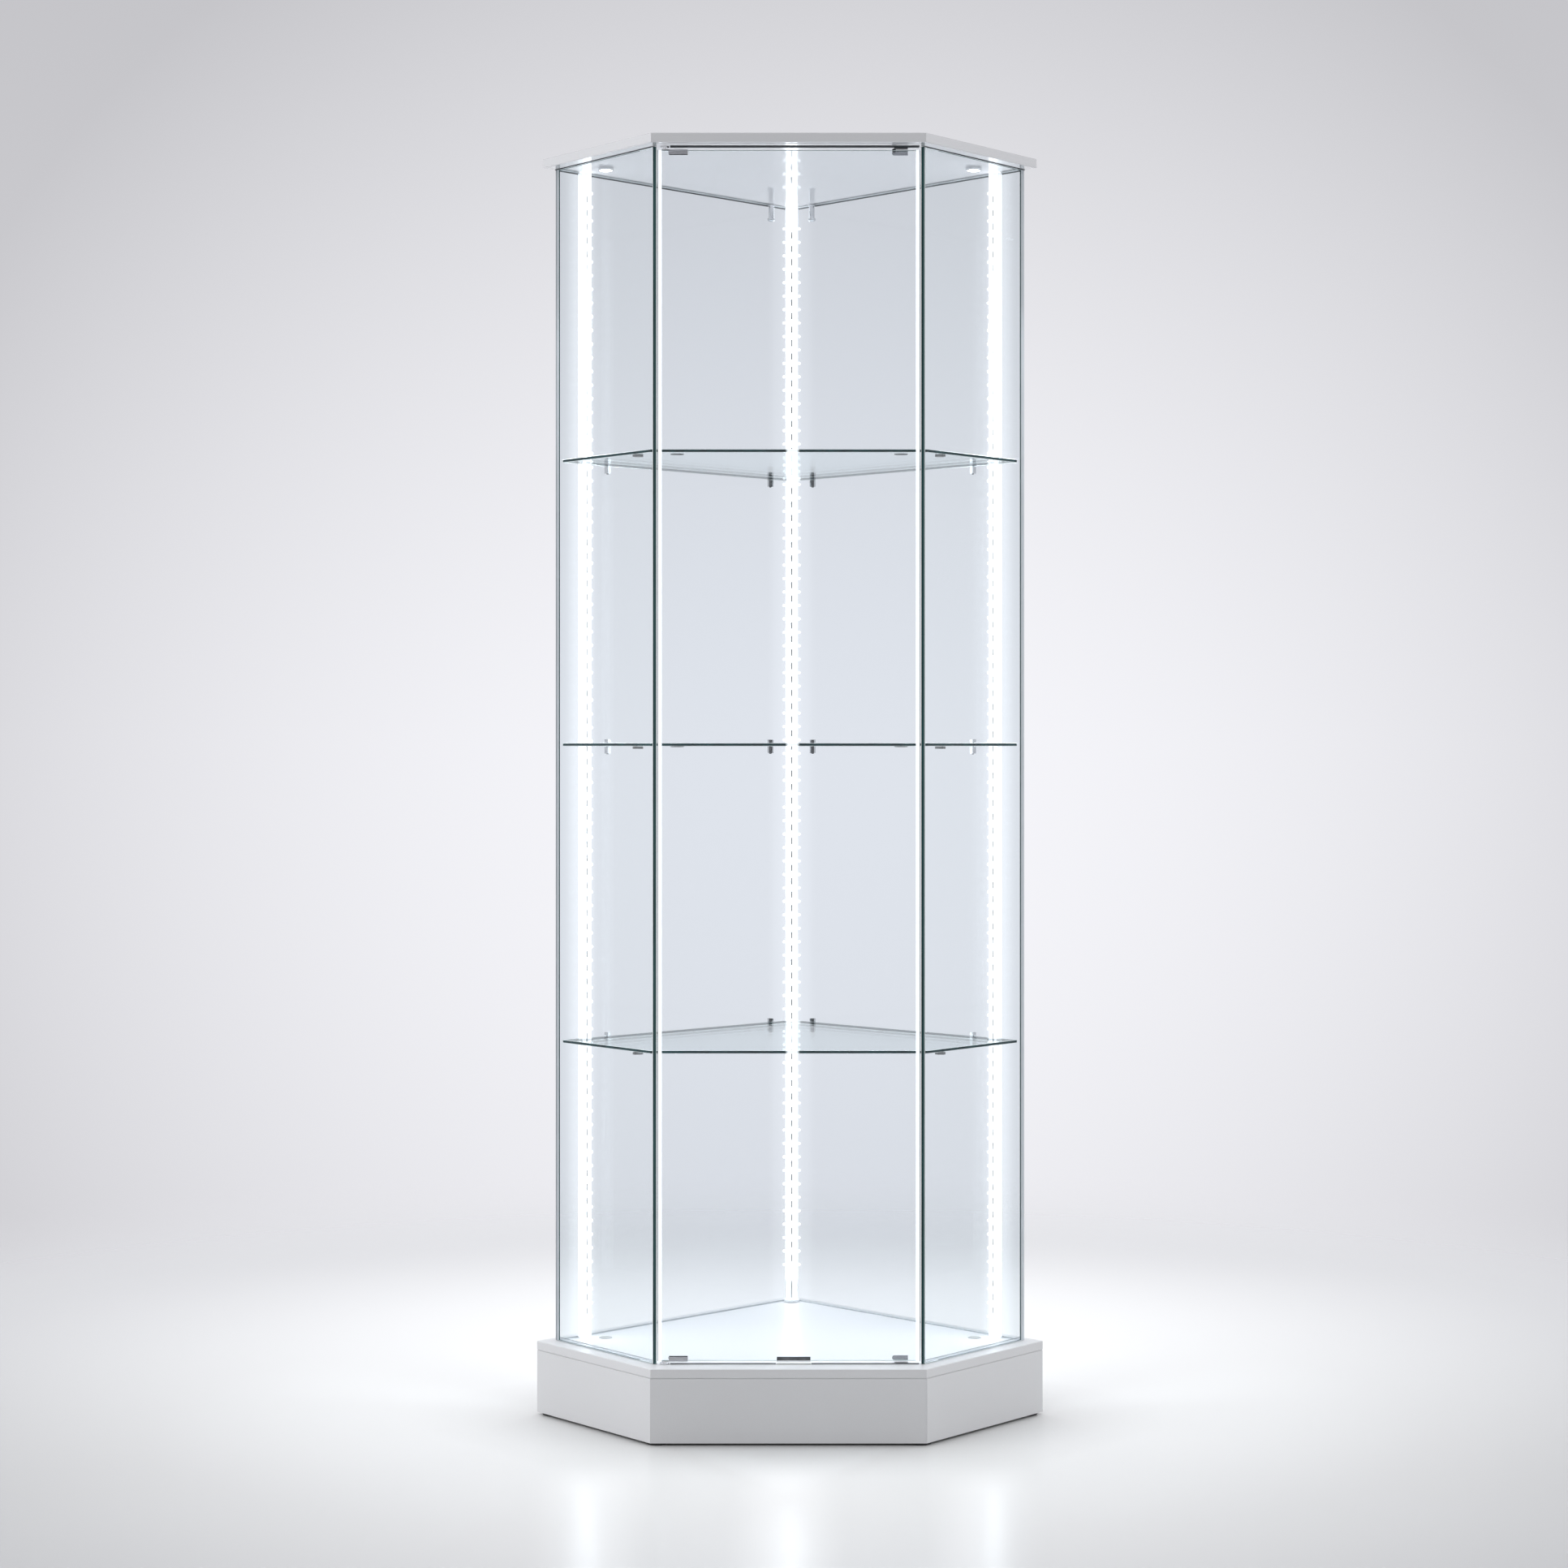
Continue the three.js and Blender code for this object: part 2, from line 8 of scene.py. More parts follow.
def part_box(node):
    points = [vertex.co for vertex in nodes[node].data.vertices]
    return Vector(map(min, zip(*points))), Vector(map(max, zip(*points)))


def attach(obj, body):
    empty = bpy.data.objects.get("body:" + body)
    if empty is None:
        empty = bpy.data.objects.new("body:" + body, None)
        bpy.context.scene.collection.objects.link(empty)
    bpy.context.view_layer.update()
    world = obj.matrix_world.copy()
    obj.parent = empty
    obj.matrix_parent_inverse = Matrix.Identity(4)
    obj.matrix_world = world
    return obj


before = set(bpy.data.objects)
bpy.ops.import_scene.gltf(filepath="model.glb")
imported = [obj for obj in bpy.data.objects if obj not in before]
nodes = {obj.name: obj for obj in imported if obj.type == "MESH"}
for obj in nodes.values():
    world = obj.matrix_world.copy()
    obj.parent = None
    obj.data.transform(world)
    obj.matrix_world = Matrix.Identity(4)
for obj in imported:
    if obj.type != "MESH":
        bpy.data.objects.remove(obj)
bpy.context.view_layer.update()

# Camera
# A level view, square to the door, from about four metres away and a little to its right. The
# shift puts the horizon and the door's middle where the photograph has them. Light passes a door,
# shelves and a wall on its way, two faces each.
picture_px = 1932
focal_px = 3876
horizon_px = 917.5
axis_px = 1006.5
sensor_mm = 36
camera_distance = 3.924
camera_right = 0.035
camera_height = 0.868
most_clear_faces = 24
camera_data = bpy.data.cameras.new("camera")
camera_data.sensor_width = sensor_mm
camera_data.lens = sensor_mm * focal_px / picture_px
camera_data.shift_x = (picture_px / 2 - axis_px) / picture_px
camera_data.shift_y = (horizon_px - picture_px / 2) / picture_px
camera = bpy.data.objects.new("camera", camera_data)
bpy.context.scene.collection.objects.link(camera)
door_face_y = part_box("door_glass")[0].y
camera.location = (camera_right, door_face_y - camera_distance, camera_height)
camera.rotation_euler = (math.pi / 2, 0, 0)
bpy.context.scene.camera = camera
bpy.context.scene.view_settings.view_transform = "Standard"
bpy.context.scene.cycles.transparent_max_bounces = most_clear_faces


# Room
# A pale room, brightest behind the cabinet. Its soft light comes from above and from two wide
# lights, left and right of the cabinet and a little behind it, so the front faces are the darkest.
upward = Vector((0, 0, 1))
backward = Vector((0, 1, 0))
room_edge = (0.635, 0.632, 0.662)
room_glow = (0.925, 0.925, 0.965)
glow_half_angle = math.radians(17)
dimmer_above = 0.5
light_all_round = 0.14
light_from_above = 0.50
wide_lights = (((-0.94, 0.34, 0), 1.95), ((0.94, 0.34, 0), 1.40))
light_tint = (0.975, 0.985, 1.0)


def feed(entry, value):
    """Gives a node's entry a value, or links it to an output. A node stands for its first one."""
    if isinstance(value, bpy.types.Node):
        value = value.outputs[0]
    if isinstance(value, bpy.types.NodeSocket):
        entry.id_data.links.new(value, entry)
    else:
        entry.default_value = (*value, 1) if entry.type == "RGBA" else value


def node(tree, kind, *values, **named):
    """Adds a node. Values go to its entries in order, named ones to a setting or entry."""
    made = tree.nodes.new("ShaderNode" + kind)
    for name, value in named.items():
        if hasattr(made, name):
            setattr(made, name, value)
        else:
            feed(made.inputs[name.replace("_", " ")], value)
    for entry, value in zip(made.inputs, values):
        feed(entry, value)
    return made


def maths(operation, *values):
    tree = next(value.id_data for value in values if hasattr(value, "id_data"))
    return node(tree, "Math", *values, operation=operation)


def spread(value, low, high, to_low=0.0, to_high=1.0, smooth=False):
    """Carries a value from one range over to another, and holds it at that one's ends."""
    kind = "SMOOTHSTEP" if smooth else "LINEAR"
    ends = (low, high, to_low, to_high)
    return node(value.id_data, "MapRange", value, *ends, clamp=True, interpolation_type=kind)


def towards(vector, direction):
    """How far a vector reaches in a direction."""
    made = node(vector.id_data, "VectorMath", vector, direction, operation="DOT_PRODUCT")
    return made.outputs["Value"]


def blend_colours(share, first, second):
    made = node(share.id_data, "Mix", data_type="RGBA")
    for slot, value in ((0, share), (6, first), (7, second)):
        feed(made.inputs[slot], value)
    return made.outputs[2]


def blend_shaders(share, first, second):
    return node(first.id_data, "MixShader", share, first, second)


def rays_that_see(tree):
    """1 for a ray that shows a surface, straight or in a mirror, and 0 for one that lights it."""
    path = node(tree, "LightPath").outputs
    seen = maths("MAXIMUM", path["Is Camera Ray"], path["Is Glossy Ray"])
    return maths("MAXIMUM", seen, path["Is Transmission Ray"])


world = bpy.data.worlds.new("room")
world.use_nodes = True
bpy.context.scene.world = world
tree = world.node_tree
tree.nodes.clear()
outward = node(tree, "TexCoord").outputs["Generated"]
up = maths("MAXIMUM", towards(outward, upward), 0)
light = maths("ADD", maths("MULTIPLY", up, light_from_above), light_all_round)
for direction, strength in wide_lights:
    share = maths("MAXIMUM", towards(outward, direction), 0)
    light = maths("ADD", light, maths("MULTIPLY", share, strength))
lit = node(tree, "Background", Color=light_tint, Strength=light)
behind = spread(towards(outward, backward), math.cos(glow_half_angle), 1)
tone = blend_colours(behind, room_edge, room_glow)
wall = node(tree, "Background", Color=tone, Strength=spread(up, 0, 1, 1, 1 - dimmer_above))
node(tree, "OutputWorld", blend_shaders(rays_that_see(tree), lit, wall))


# Floor
# A pale satin floor that fades out into the room. Its colour is painted paler near the cabinet,
# palest behind it, and darker in a painted shadow round the plinth. A painted pool of light round
# the plinth, with a painted spill and three painted streaks of light in front of the door, stands
# for the light of the bars.
rightward = Vector((1, 0, 0))
floor_radius = 4.0
floor_sides = 96
floor_fade = (1.15, 2.3)
floor_near = (0.63, 0.63, 0.63)
floor_far = (0.46, 0.46, 0.47)
floor_near_far = (0.35, 1.5)
floor_front_back = (-0.5, 1.0)
floor_roughness = 0.22
paler_behind = 1.55
bounce = 0.80
shadow_reach = 0.18
shadow_samples = 6
half_open = 0.5
shaded_tone = 0.86
shadow_softness = 2.0
light_pool_colour = (0.99, 0.993, 1.0)
light_pool_strength = 0.17
light_spill_strength = 0.05
light_spill_half_width = (0.08, 0.26)
light_spill_start = (-0.42, -0.27)
light_streak_strength = 0.115
light_streak_half_width = 0.075
light_streak_from_middle = 0.279
light_streak_closing = 0.09
light_streak_start = (-0.50, -0.33)


def new_material(name):
    material = bpy.data.materials.new(name)
    material.use_nodes = True
    material.node_tree.nodes.clear()
    return material, material.node_tree


def close_material(shader):
    node(shader.id_data, "OutputMaterial", shader)


def add_light(shader, colour, strength):
    glow = node(shader.id_data, "Emission", Color=colour, Strength=strength)
    return node(shader.id_data, "AddShader", shader, glow)


def point_on(tree):
    """The point of a piece that a ray meets."""
    return node(tree, "TexCoord").outputs["Object"]


def position(tree, direction):
    """How far that point lies in a direction."""
    return towards(point_on(tree), direction)


def facing(tree, direction):
    """How much the face there is turned to a direction."""
    return towards(node(tree, "TexCoord").outputs["Normal"], direction)


floor_mesh = bpy.data.meshes.new("floor")
shape = bmesh.new()
bmesh.ops.create_circle(shape, cap_ends=True, radius=floor_radius, segments=floor_sides)
shape.to_mesh(floor_mesh)
shape.free()
floor = bpy.data.objects.new("floor", floor_mesh)
bpy.context.scene.collection.objects.link(floor)
pale_floor, tree = new_material("pale_floor")
reach = node(tree, "VectorMath", point_on(tree), operation="LENGTH").outputs["Value"]
depth = position(tree, backward)
from_middle = maths("ABSOLUTE", position(tree, rightward))
openness = node(tree, "AmbientOcclusion", samples=shadow_samples, Distance=shadow_reach)
openness = openness.outputs["AO"]

# Painted light: the floor's colour is paler near the cabinet and palest behind it.
tone = blend_colours(spread(reach, *floor_near_far, smooth=True), floor_near, floor_far)
share = spread(depth, *floor_front_back, 1, paler_behind, smooth=True)
share = maths("MULTIPLY", share, spread(rays_that_see(tree), 0, 1, bounce, 1))
# Painted shade: the floor's colour darkens where the plinth is close, by its ambient occlusion.
share = maths("MULTIPLY", share, spread(openness, half_open, 1, shaded_tone, 1))
tone = node(tree, "VectorMath", tone, operation="SCALE", Scale=share)
satin = node(tree, "BsdfPrincipled", Base_Color=tone, Roughness=floor_roughness)

# Painted light, shown to the eye only: a pool round the plinth, kept out of its painted shadow, and
# a spill and three streaks in front of the door.
light_pool = spread(reach, *floor_near_far, light_pool_strength, 0, smooth=True)
light_pool = maths("MULTIPLY", light_pool, maths("POWER", openness, shadow_softness))
light_spill = spread(depth, *light_spill_start, light_spill_strength, 0, smooth=True)
light_spill = maths("MULTIPLY", light_spill, spread(from_middle, *light_spill_half_width, 1, 0, smooth=True))
outer_light_streak = maths("MULTIPLY_ADD", depth, light_streak_closing, light_streak_from_middle)
from_outer = maths("ABSOLUTE", maths("SUBTRACT", from_middle, outer_light_streak))
from_light_streak = maths("MINIMUM", from_middle, from_outer)
light_streaks = spread(from_light_streak, 0, light_streak_half_width, light_streak_strength, 0, smooth=True)
light_streaks = maths("MULTIPLY", light_streaks, spread(depth, *light_streak_start, 1, 0, smooth=True))
light_pool = maths("ADD", maths("ADD", light_pool, light_spill), light_streaks)
lit_floor = add_light(satin, light_pool_colour, maths("MULTIPLY", rays_that_see(tree), light_pool))
fade = spread(reach, *floor_fade, smooth=True)
close_material(blend_shaders(fade, lit_floor, node(tree, "BsdfTransparent")))
floor_mesh.materials.append(pale_floor)


# Boards: the base board, the top board and the five plinth boards
# White lacquered board, sprayed after its edges are eased, so one skin covers faces and edges.
# The plinth is mitred and glued under the base board, and the polished top rests on the glass.
cloud_share = 0.7
gloss_range = 0.05
peel_strength = 0.12
peel_depth = 0.00008
coat_roughness = 0.02


def noise(tree, scale, detail, stretch=None):
    """A cloud of values round a half, drawn out along the axes where stretch is small."""
    place = point_on(tree)
    if stretch:
        place = node(tree, "Mapping", place, Scale=stretch)
    return node(tree, "TexNoise", place, Scale=scale, Detail=detail)


def mottled(cloud, dark, light, low=0.35, high=0.65):
    """Two close shades of one colour that drift into each other."""
    return blend_colours(spread(cloud, low, high), dark, light)


def uneven(cloud, roughness, most_more):
    """A roughness that rises here and there by a little more."""
    return spread(cloud, 0.3, 0.7, roughness, roughness + most_more)


def finish_node(name, material):
    nodes[name].data.materials.clear()
    nodes[name].data.materials.append(material)


def lacquer(name, dark, light, roughness, coat=0.0):
    material, tree = new_material(name)
    cloud = noise(tree, scale=2.2, detail=3.0)
    speckle = maths("MULTIPLY", noise(tree, scale=700.0, detail=2.0), 1 - cloud_share)
    tone = maths("ADD", maths("MULTIPLY", cloud, cloud_share), speckle)
    peel = noise(tree, scale=260.0, detail=1.0)
    close_material(node(
        tree, "BsdfPrincipled",
        Base_Color=mottled(tone, dark, light),
        Roughness=uneven(cloud, roughness, gloss_range),
        Normal=node(tree, "Bump", Height=peel, Strength=peel_strength, Distance=peel_depth),
        Coat_Weight=coat,
        Coat_Roughness=coat_roughness,
    ))
    return material


satin_white = lacquer("satin_white_lacquer", (0.775, 0.775, 0.79), (0.815, 0.815, 0.83), 0.30)
# The polished top's white is a little greyer than the satin boards': painted shade, for the less
# light that it gets back from the floor.
polished_white = lacquer(
    "polished_white_lacquer", (0.69, 0.69, 0.71), (0.73, 0.73, 0.75), 0.05, coat=1.0
)
for side in ("front", "left", "right", "back_left", "back_right"):
    finish_node("plinth_" + side, satin_white)
finish_node("base_board", satin_white)
finish_node("top_board", polished_white)


# Joint filler
# Filler that was pressed into the joints of the plinth and under the base board and painted over,
# a little below the faces, so that the joints show as fine lines only.
filler_share = 0.7
mitre_filler_width = 0.0003
mitre_filler_depth = 0.012
mitre_filler_outset = 0.0006
same_level = 0.0001
sharp_angle = math.radians(35)
towards_corners = ((-0.4, -1, 0), (0.4, -1, 0), (1, -0.2, 0), (0, 1, 0), (-1, -0.2, 0))


def points_of(name):
    return [vertex.co for vertex in nodes[name].data.vertices]


def new_piece(name, shape, material, body):
    mesh = bpy.data.meshes.new(name)
    bmesh.ops.recalc_face_normals(shape, faces=shape.faces)
    shape.to_mesh(mesh)
    shape.free()
    mesh.shade_smooth()
    mesh.set_sharp_from_angle(angle=sharp_angle)
    mesh.materials.append(material)
    piece = bpy.data.objects.new(name, mesh)
    bpy.context.scene.collection.objects.link(piece)
    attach(piece, body)
    return piece


def skin_rings(shape, sections):
    """Joins equal rings of points into one open skin, and gives its first and last ring."""
    rings = [[shape.verts.new(point) for point in section] for section in sections]
    for near, far in zip(rings, rings[1:]):
        for i in range(len(near)):
            j = (i + 1) % len(near)
            shape.faces.new((near[i], near[j], far[j], far[i]))
    return rings[0], rings[-1]


def loft(shape, sections):
    """Joins equal rings of points into one skin, and caps its two ends."""
    first, last = skin_rings(shape, sections)
    shape.faces.new(first[::-1])
    shape.faces.new(last)


def upright(shape, outline, low, high):
    """A straight block on an outline, between two levels."""
    loft(shape, [[Vector((point.x, point.y, level)) for point in outline] for level in (low, high)])


filler = bmesh.new()
base_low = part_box("base_board")[0].z
plinth_low, plinth_high = (corner.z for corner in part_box("plinth_front"))
base_points = [point for point in points_of("base_board") if point.z < base_low + same_level]
corners = [max(base_points, key=Vector(direction).dot) for direction in towards_corners]
margin = (base_low - plinth_high) * (1 - filler_share) / 2
upright(filler, corners, plinth_high + margin, base_low - margin)
for i, corner in enumerate(corners):
    ahead = (corners[(i + 1) % len(corners)] - corner).normalized()
    back = (corners[i - 1] - corner).normalized()
    inward = (ahead + back).normalized()
    half = upward.cross(inward) * mitre_filler_width / 2
    near, far = corner - inward * mitre_filler_outset, corner + inward * mitre_filler_depth
    upright(filler, (near - half, near + half, far + half, far - half), plinth_low, plinth_high)
new_piece("joint_filler", filler, satin_white, "cabinet")


# Glides
# Low black nylon discs under the plinth's corners, each pressed on a pin, which hold the plinth
# just clear of the floor.
grain_scale = 1500.0
grain_strength = 0.15
grain_depth = 0.0001
moulding_gloss_range = 0.1


def moulding(name, dark, light, roughness, shine=0.5):
    """Moulded plastic or rubber, with the fine grain of its mould."""
    material, tree = new_material(name)
    cloud = noise(tree, scale=60.0, detail=4.0)
    grain = node(tree, "TexVoronoi", point_on(tree), Scale=grain_scale)
    close_material(node(
        tree, "BsdfPrincipled",
        Base_Color=mottled(cloud, dark, light),
        Roughness=uneven(cloud, roughness, moulding_gloss_range),
        Normal=node(tree, "Bump", Height=grain, Strength=grain_strength, Distance=grain_depth),
        Specular_IOR_Level=shine,
    ))
    return material


black_nylon = moulding("black_nylon", (0.018, 0.018, 0.02), (0.035, 0.035, 0.038), 0.42)
for corner in ("front_left", "front_right", "left", "right", "back"):
    finish_node("foot_" + corner, black_nylon)


# Glass walls
# Clear toughened sheets, mitred and bonded at the corners. Their polished free ends look dark
# green, with a painted glint on the right half of a side wall's ends, and the glue keeps the mitres
# light beside their dark inner line. A glow is painted on a back wall beside the light bars that
# stand on it.
glass_thickness = 0.004
same_face = glass_thickness / 4
bonded_from = -0.2
past_the_back = 1.0
turned_to = 0.3
face_flatness = 0.97
end_flatness = 0.9
face_clear = (0.950, 0.962, 0.971)
face_steep = (0.915, 0.95, 0.953)
steep_range = (0.3, 0.95)
mirror_share_square_on = 0.016
mirror_share_at_glance = 0.70
mirror_power = 5.0
edge_dark = (0.003, 0.024, 0.027)
edge_light = (0.008, 0.060, 0.064)
edge_glint = (0.060, 0.125, 0.125)
edge_stretch = (9.0, 9.0, 1.6)
edge_roughness = 0.12
edge_shine = 0.3
arris_tone = (0.86, 0.92, 0.92)
arris_from_middle = 0.37
glue_tone = (0.84, 0.87, 0.90)
glue_shade = (0.40, 0.41, 0.44)
glue_line_from_middle = 0.27
resting_tone = (0.72, 0.76, 0.77)
light_colour = (0.95, 0.975, 1.0)
side_halo = 0.085
corner_halo = 0.030
halo_reach = 0.026
lit_centre = 0.0045
lit_strength = 1.1
far_line_share = 0.3
far_edge_clear = 0.88
far_edge_line = 0.25


def extent(points, direction):
    """The least and the most that some points reach in a direction."""
    reaches = [direction.dot(point) for point in points]
    return min(reaches), max(reaches)


def sheet_direction(name):
    """The direction of the largest face of a sheet."""
    return max(nodes[name].data.polygons, key=lambda face: face.area).normal.copy()


def mirror_share(tree):
    """The share of light that coated glass mirrors, and how far it is turned from the eye."""
    turned_away = node(tree, "LayerWeight", Blend=0.5).outputs["Facing"]
    share = maths("MULTIPLY", maths("POWER", turned_away, mirror_power), mirror_share_at_glance)
    return maths("ADD", share, mirror_share_square_on), turned_away


def sheet_faces(tree):
    """What shines through a sheet, and the same with what its faces mirror."""
    share, turned_away = mirror_share(tree)
    tint = blend_colours(spread(turned_away, *steep_range), face_clear, face_steep)
    through = node(tree, "BsdfTransparent", Color=tint)
    mirror = node(tree, "BsdfGlossy", Color=(1, 1, 1), Roughness=0.0)
    return through, blend_shaders(share, through, mirror)


def with_halo(face, name, direction):
    """Adds a painted glow to a back wall beside the light bars that stand on it."""
    run = upward.cross(direction)
    along = position(face.id_data, run)
    side_bar = name.replace("back_glass", "led_channel")
    strength = 0.0
    for bar, full_strength in ((side_bar, side_halo), ("led_channel_back", corner_halo)):
        start, finish = extent(points_of(bar), run)
        before, after = maths("SUBTRACT", start, along), maths("SUBTRACT", along, finish)
        beside = maths("MAXIMUM", before, after)
        halo = spread(beside, 0, halo_reach, full_strength, 0, smooth=True)
        strength = maths("ADD", halo, strength)
    return add_light(face, light_colour, strength)


def polished_tone(across, painted_glint):
    """A free end: dark green between two pale arrises, and on a side wall a painted glint on its
    right half.
    """
    streak = noise(across.id_data, scale=6.0, detail=4.0, stretch=edge_stretch)
    tone = mottled(streak, edge_dark, edge_light, high=0.7)
    if painted_glint:
        half = glass_thickness / 8
        tone = blend_colours(spread(across, -half, half, smooth=True), tone, edge_glint)
    from_middle = maths("ABSOLUTE", across)
    is_arris = maths("GREATER_THAN", from_middle, glass_thickness * arris_from_middle)
    return blend_colours(is_arris, tone, arris_tone)


def glued_tone(across, name):
    """A mitred end: light glue, shaded on its left, with a dark line on the cabinet's inside."""
    tone = blend_colours(spread(across, -glass_thickness / 2, 0), glue_shade, glue_tone)
    from_inside = maths("MULTIPLY", across, -1.0 if name.endswith("right") else 1.0)
    is_line = maths("GREATER_THAN", from_inside, glass_thickness * glue_line_from_middle)
    return blend_colours(is_line, tone, edge_light)


def lit_shelf_edge(edge, through, across, lit_middle):
    """Paints a glow on the middle of a shelf's front edge, and leaves only a line of its far edges.
    """
    tree = edge.id_data
    from_lit = maths("ABSOLUTE", maths("SUBTRACT", position(tree, rightward), lit_centre))
    strength = spread(from_lit, *lit_middle, lit_strength, 0, smooth=True)
    feed(edge.inputs["Emission Color"], light_colour)
    feed(edge.inputs["Emission Strength"], strength)
    is_far = maths("GREATER_THAN", facing(tree, backward), turned_to)
    line_top = glass_thickness * (far_line_share - 0.5)
    above_line = maths("GREATER_THAN", across, line_top)
    clear_share = spread(above_line, 0, 1, far_edge_line, far_edge_clear)
    return blend_shaders(maths("MULTIPLY", is_far, clear_share), edge, through)


def glass_sheet(name, bonded_behind=past_the_back, lit_middle=None, free_foot=False, painted_glint=False):
    direction = sheet_direction(name)
    if direction.x + direction.z < 0:
        direction.negate()
    reaches = [point.dot(direction) for point in points_of(name)]
    material, tree = new_material(name + "_sheet")
    through, face = sheet_faces(tree)
    if name.startswith("back"):
        face = with_halo(face, name, direction)
    across = maths("SUBTRACT", position(tree, direction), sum(reaches) / len(reaches))
    flatness = maths("ABSOLUTE", facing(tree, direction))
    is_bonded = maths(
        "MULTIPLY",
        maths("GREATER_THAN", position(tree, backward), bonded_behind),
        maths("GREATER_THAN", flatness, turned_to),
    )
    levelness = facing(tree, upward)
    if not free_foot:
        levelness = maths("ABSOLUTE", levelness)
    tone = blend_colours(is_bonded, polished_tone(across, painted_glint), glued_tone(across, name))
    tone = blend_colours(maths("GREATER_THAN", levelness, end_flatness), tone, resting_tone)
    edge = node(
        tree, "BsdfPrincipled",
        Base_Color=tone, Roughness=edge_roughness, Specular_IOR_Level=edge_shine,
    )
    if lit_middle:
        edge = lit_shelf_edge(edge, through, across, lit_middle)
    close_material(blend_shaders(maths("GREATER_THAN", flatness, face_flatness), edge, face))
    return material


side_walls = ("side_glass_left", "side_glass_right")
back_walls = ("back_glass_left", "back_glass_right")
for name in side_walls:
    finish_node(name, glass_sheet(name, bonded_from, painted_glint=True))
for name in back_walls:
    finish_node(name, glass_sheet(name, bonded_from))


# Sealant
# Silicone, smoothed along the joints with a wet finger: grey at the back walls' foot, clear with a
# dark feathered edge at the side walls' foot, and pale with such an edge under the top board. It
# stops short of the light bars.
floor_bead_leg = 0.0013
side_bead_rise = 0.0042
ceiling_bead_leg = 0.0025
bead_steps = 6
floor_bead_feather = (0.0, -0.001)
side_bead_feather = (0.0033, 0.0037)
ceiling_bead_feather = (-0.0007, -0.0011)
side_bead_clear = 0.7
silicone_roughness = 0.28
silicone_tint = (0.97, 0.98, 0.99)
bar_names = ("led_channel_left", "led_channel_right", "led_channel_back")


def wall_plane(name):
    """A wall's direction into the cabinet, how far along it its inner face lies, and its run."""
    inward = sheet_direction(name)
    corners = points_of(name)
    if inward.dot(corners[0]) > 0:
        inward.negate()
    return inward, extent(corners, inward)[1], upward.cross(inward)


def clear_stretches(name):
    """The stretches of a wall's inner face that no light bar stands on."""
    inward, reach, run = wall_plane(name)
    inner = [point for point in points_of(name) if inward.dot(point) > reach - same_face]
    start, finish = extent(inner, run)
    for bar in bar_names:
        feet = [point for point in points_of(bar) if inward.dot(point) - reach < same_face]
        if not feet:
            continue
        low, high = extent(feet, run)
        if start < (low + high) / 2 < finish:
            yield from ((start, low), (high, finish))
            return
    yield start, finish


def sealant(name, walls, material, level, leg, rise, up):
    """A piece of beads along walls, a leg wide, that go up or down from a level by a rise."""
    section = [(0, 0)]
    for step in range(bead_steps + 1):
        turn = math.pi / 2 * step / bead_steps
        section.append((leg * (1 - math.cos(turn)), rise * (1 - math.sin(turn))))
    beads = bmesh.new()
    for wall in walls:
        inward, reach, run = wall_plane(wall)
        for start, finish in clear_stretches(wall):
            if finish - start < leg:
                continue
            rings = []
            for along in (start, finish):
                rings.append([
                    inward * (reach + out) + run * along + Vector((0, 0, level + up * high))
                    for out, high in section
                ])
            loft(beads, rings)
    new_piece(name, beads, material, "cabinet")


def silicone(name, dark, light, edge_tone, level, feather, clear=0.0):
    """Sealant whose feathered edge, between two heights from a level, is darker."""
    material, tree = new_material(name)
    tone = mottled(noise(tree, scale=40.0, detail=3.0), dark, light)
    at_edge = spread(position(tree, upward), level + feather[0], level + feather[1])
    tone = blend_colours(at_edge, tone, edge_tone)
    skin = node(tree, "BsdfPrincipled", Base_Color=tone, Roughness=silicone_roughness)
    clear_part = node(tree, "BsdfTransparent", Color=silicone_tint)
    close_material(blend_shaders(spread(at_edge, 0, 1, clear, 0), skin, clear_part))
    return material


floor_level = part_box("base_board")[1].z
ceiling_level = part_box("top_board")[0].z
grey_silicone = silicone(
    "floor_silicone", (0.42, 0.44, 0.46), (0.54, 0.56, 0.58), (0.34, 0.36, 0.37),
    floor_level, floor_bead_feather,
)
clear_silicone = silicone(
    "side_silicone", (0.84, 0.86, 0.88), (0.90, 0.92, 0.94), (0.26, 0.28, 0.29),
    floor_level, side_bead_feather, side_bead_clear,
)
pale_silicone = silicone(
    "ceiling_silicone", (0.66, 0.68, 0.70), (0.74, 0.76, 0.78), (0.10, 0.115, 0.12),
    ceiling_level, ceiling_bead_feather,
)
sealant(
    "floor_sealant", back_walls, grey_silicone, floor_level, floor_bead_leg, floor_bead_leg, 1
)
sealant(
    "side_sealant", side_walls, clear_silicone, floor_level, floor_bead_leg, side_bead_rise, 1
)
sealant(
    "ceiling_sealant", back_walls, pale_silicone,
    ceiling_level, ceiling_bead_leg, ceiling_bead_leg, -1,
)


# Shelves
# Clear toughened glass with polished edges, notched round the side light bars and cut off straight
# at the corner one. A painted glow on the middle of their front edge stands for that bar's light,
# which the glass leads there. They rest on the clips and pads and lift out once the clips' screws
# are slack.
lit_middle = (0.0050, 0.0095)
shelf_names = ("shelf_lower", "shelf_middle", "shelf_upper")
for name in shelf_names:
    finish_node(name, glass_sheet(name, lit_middle=lit_middle))


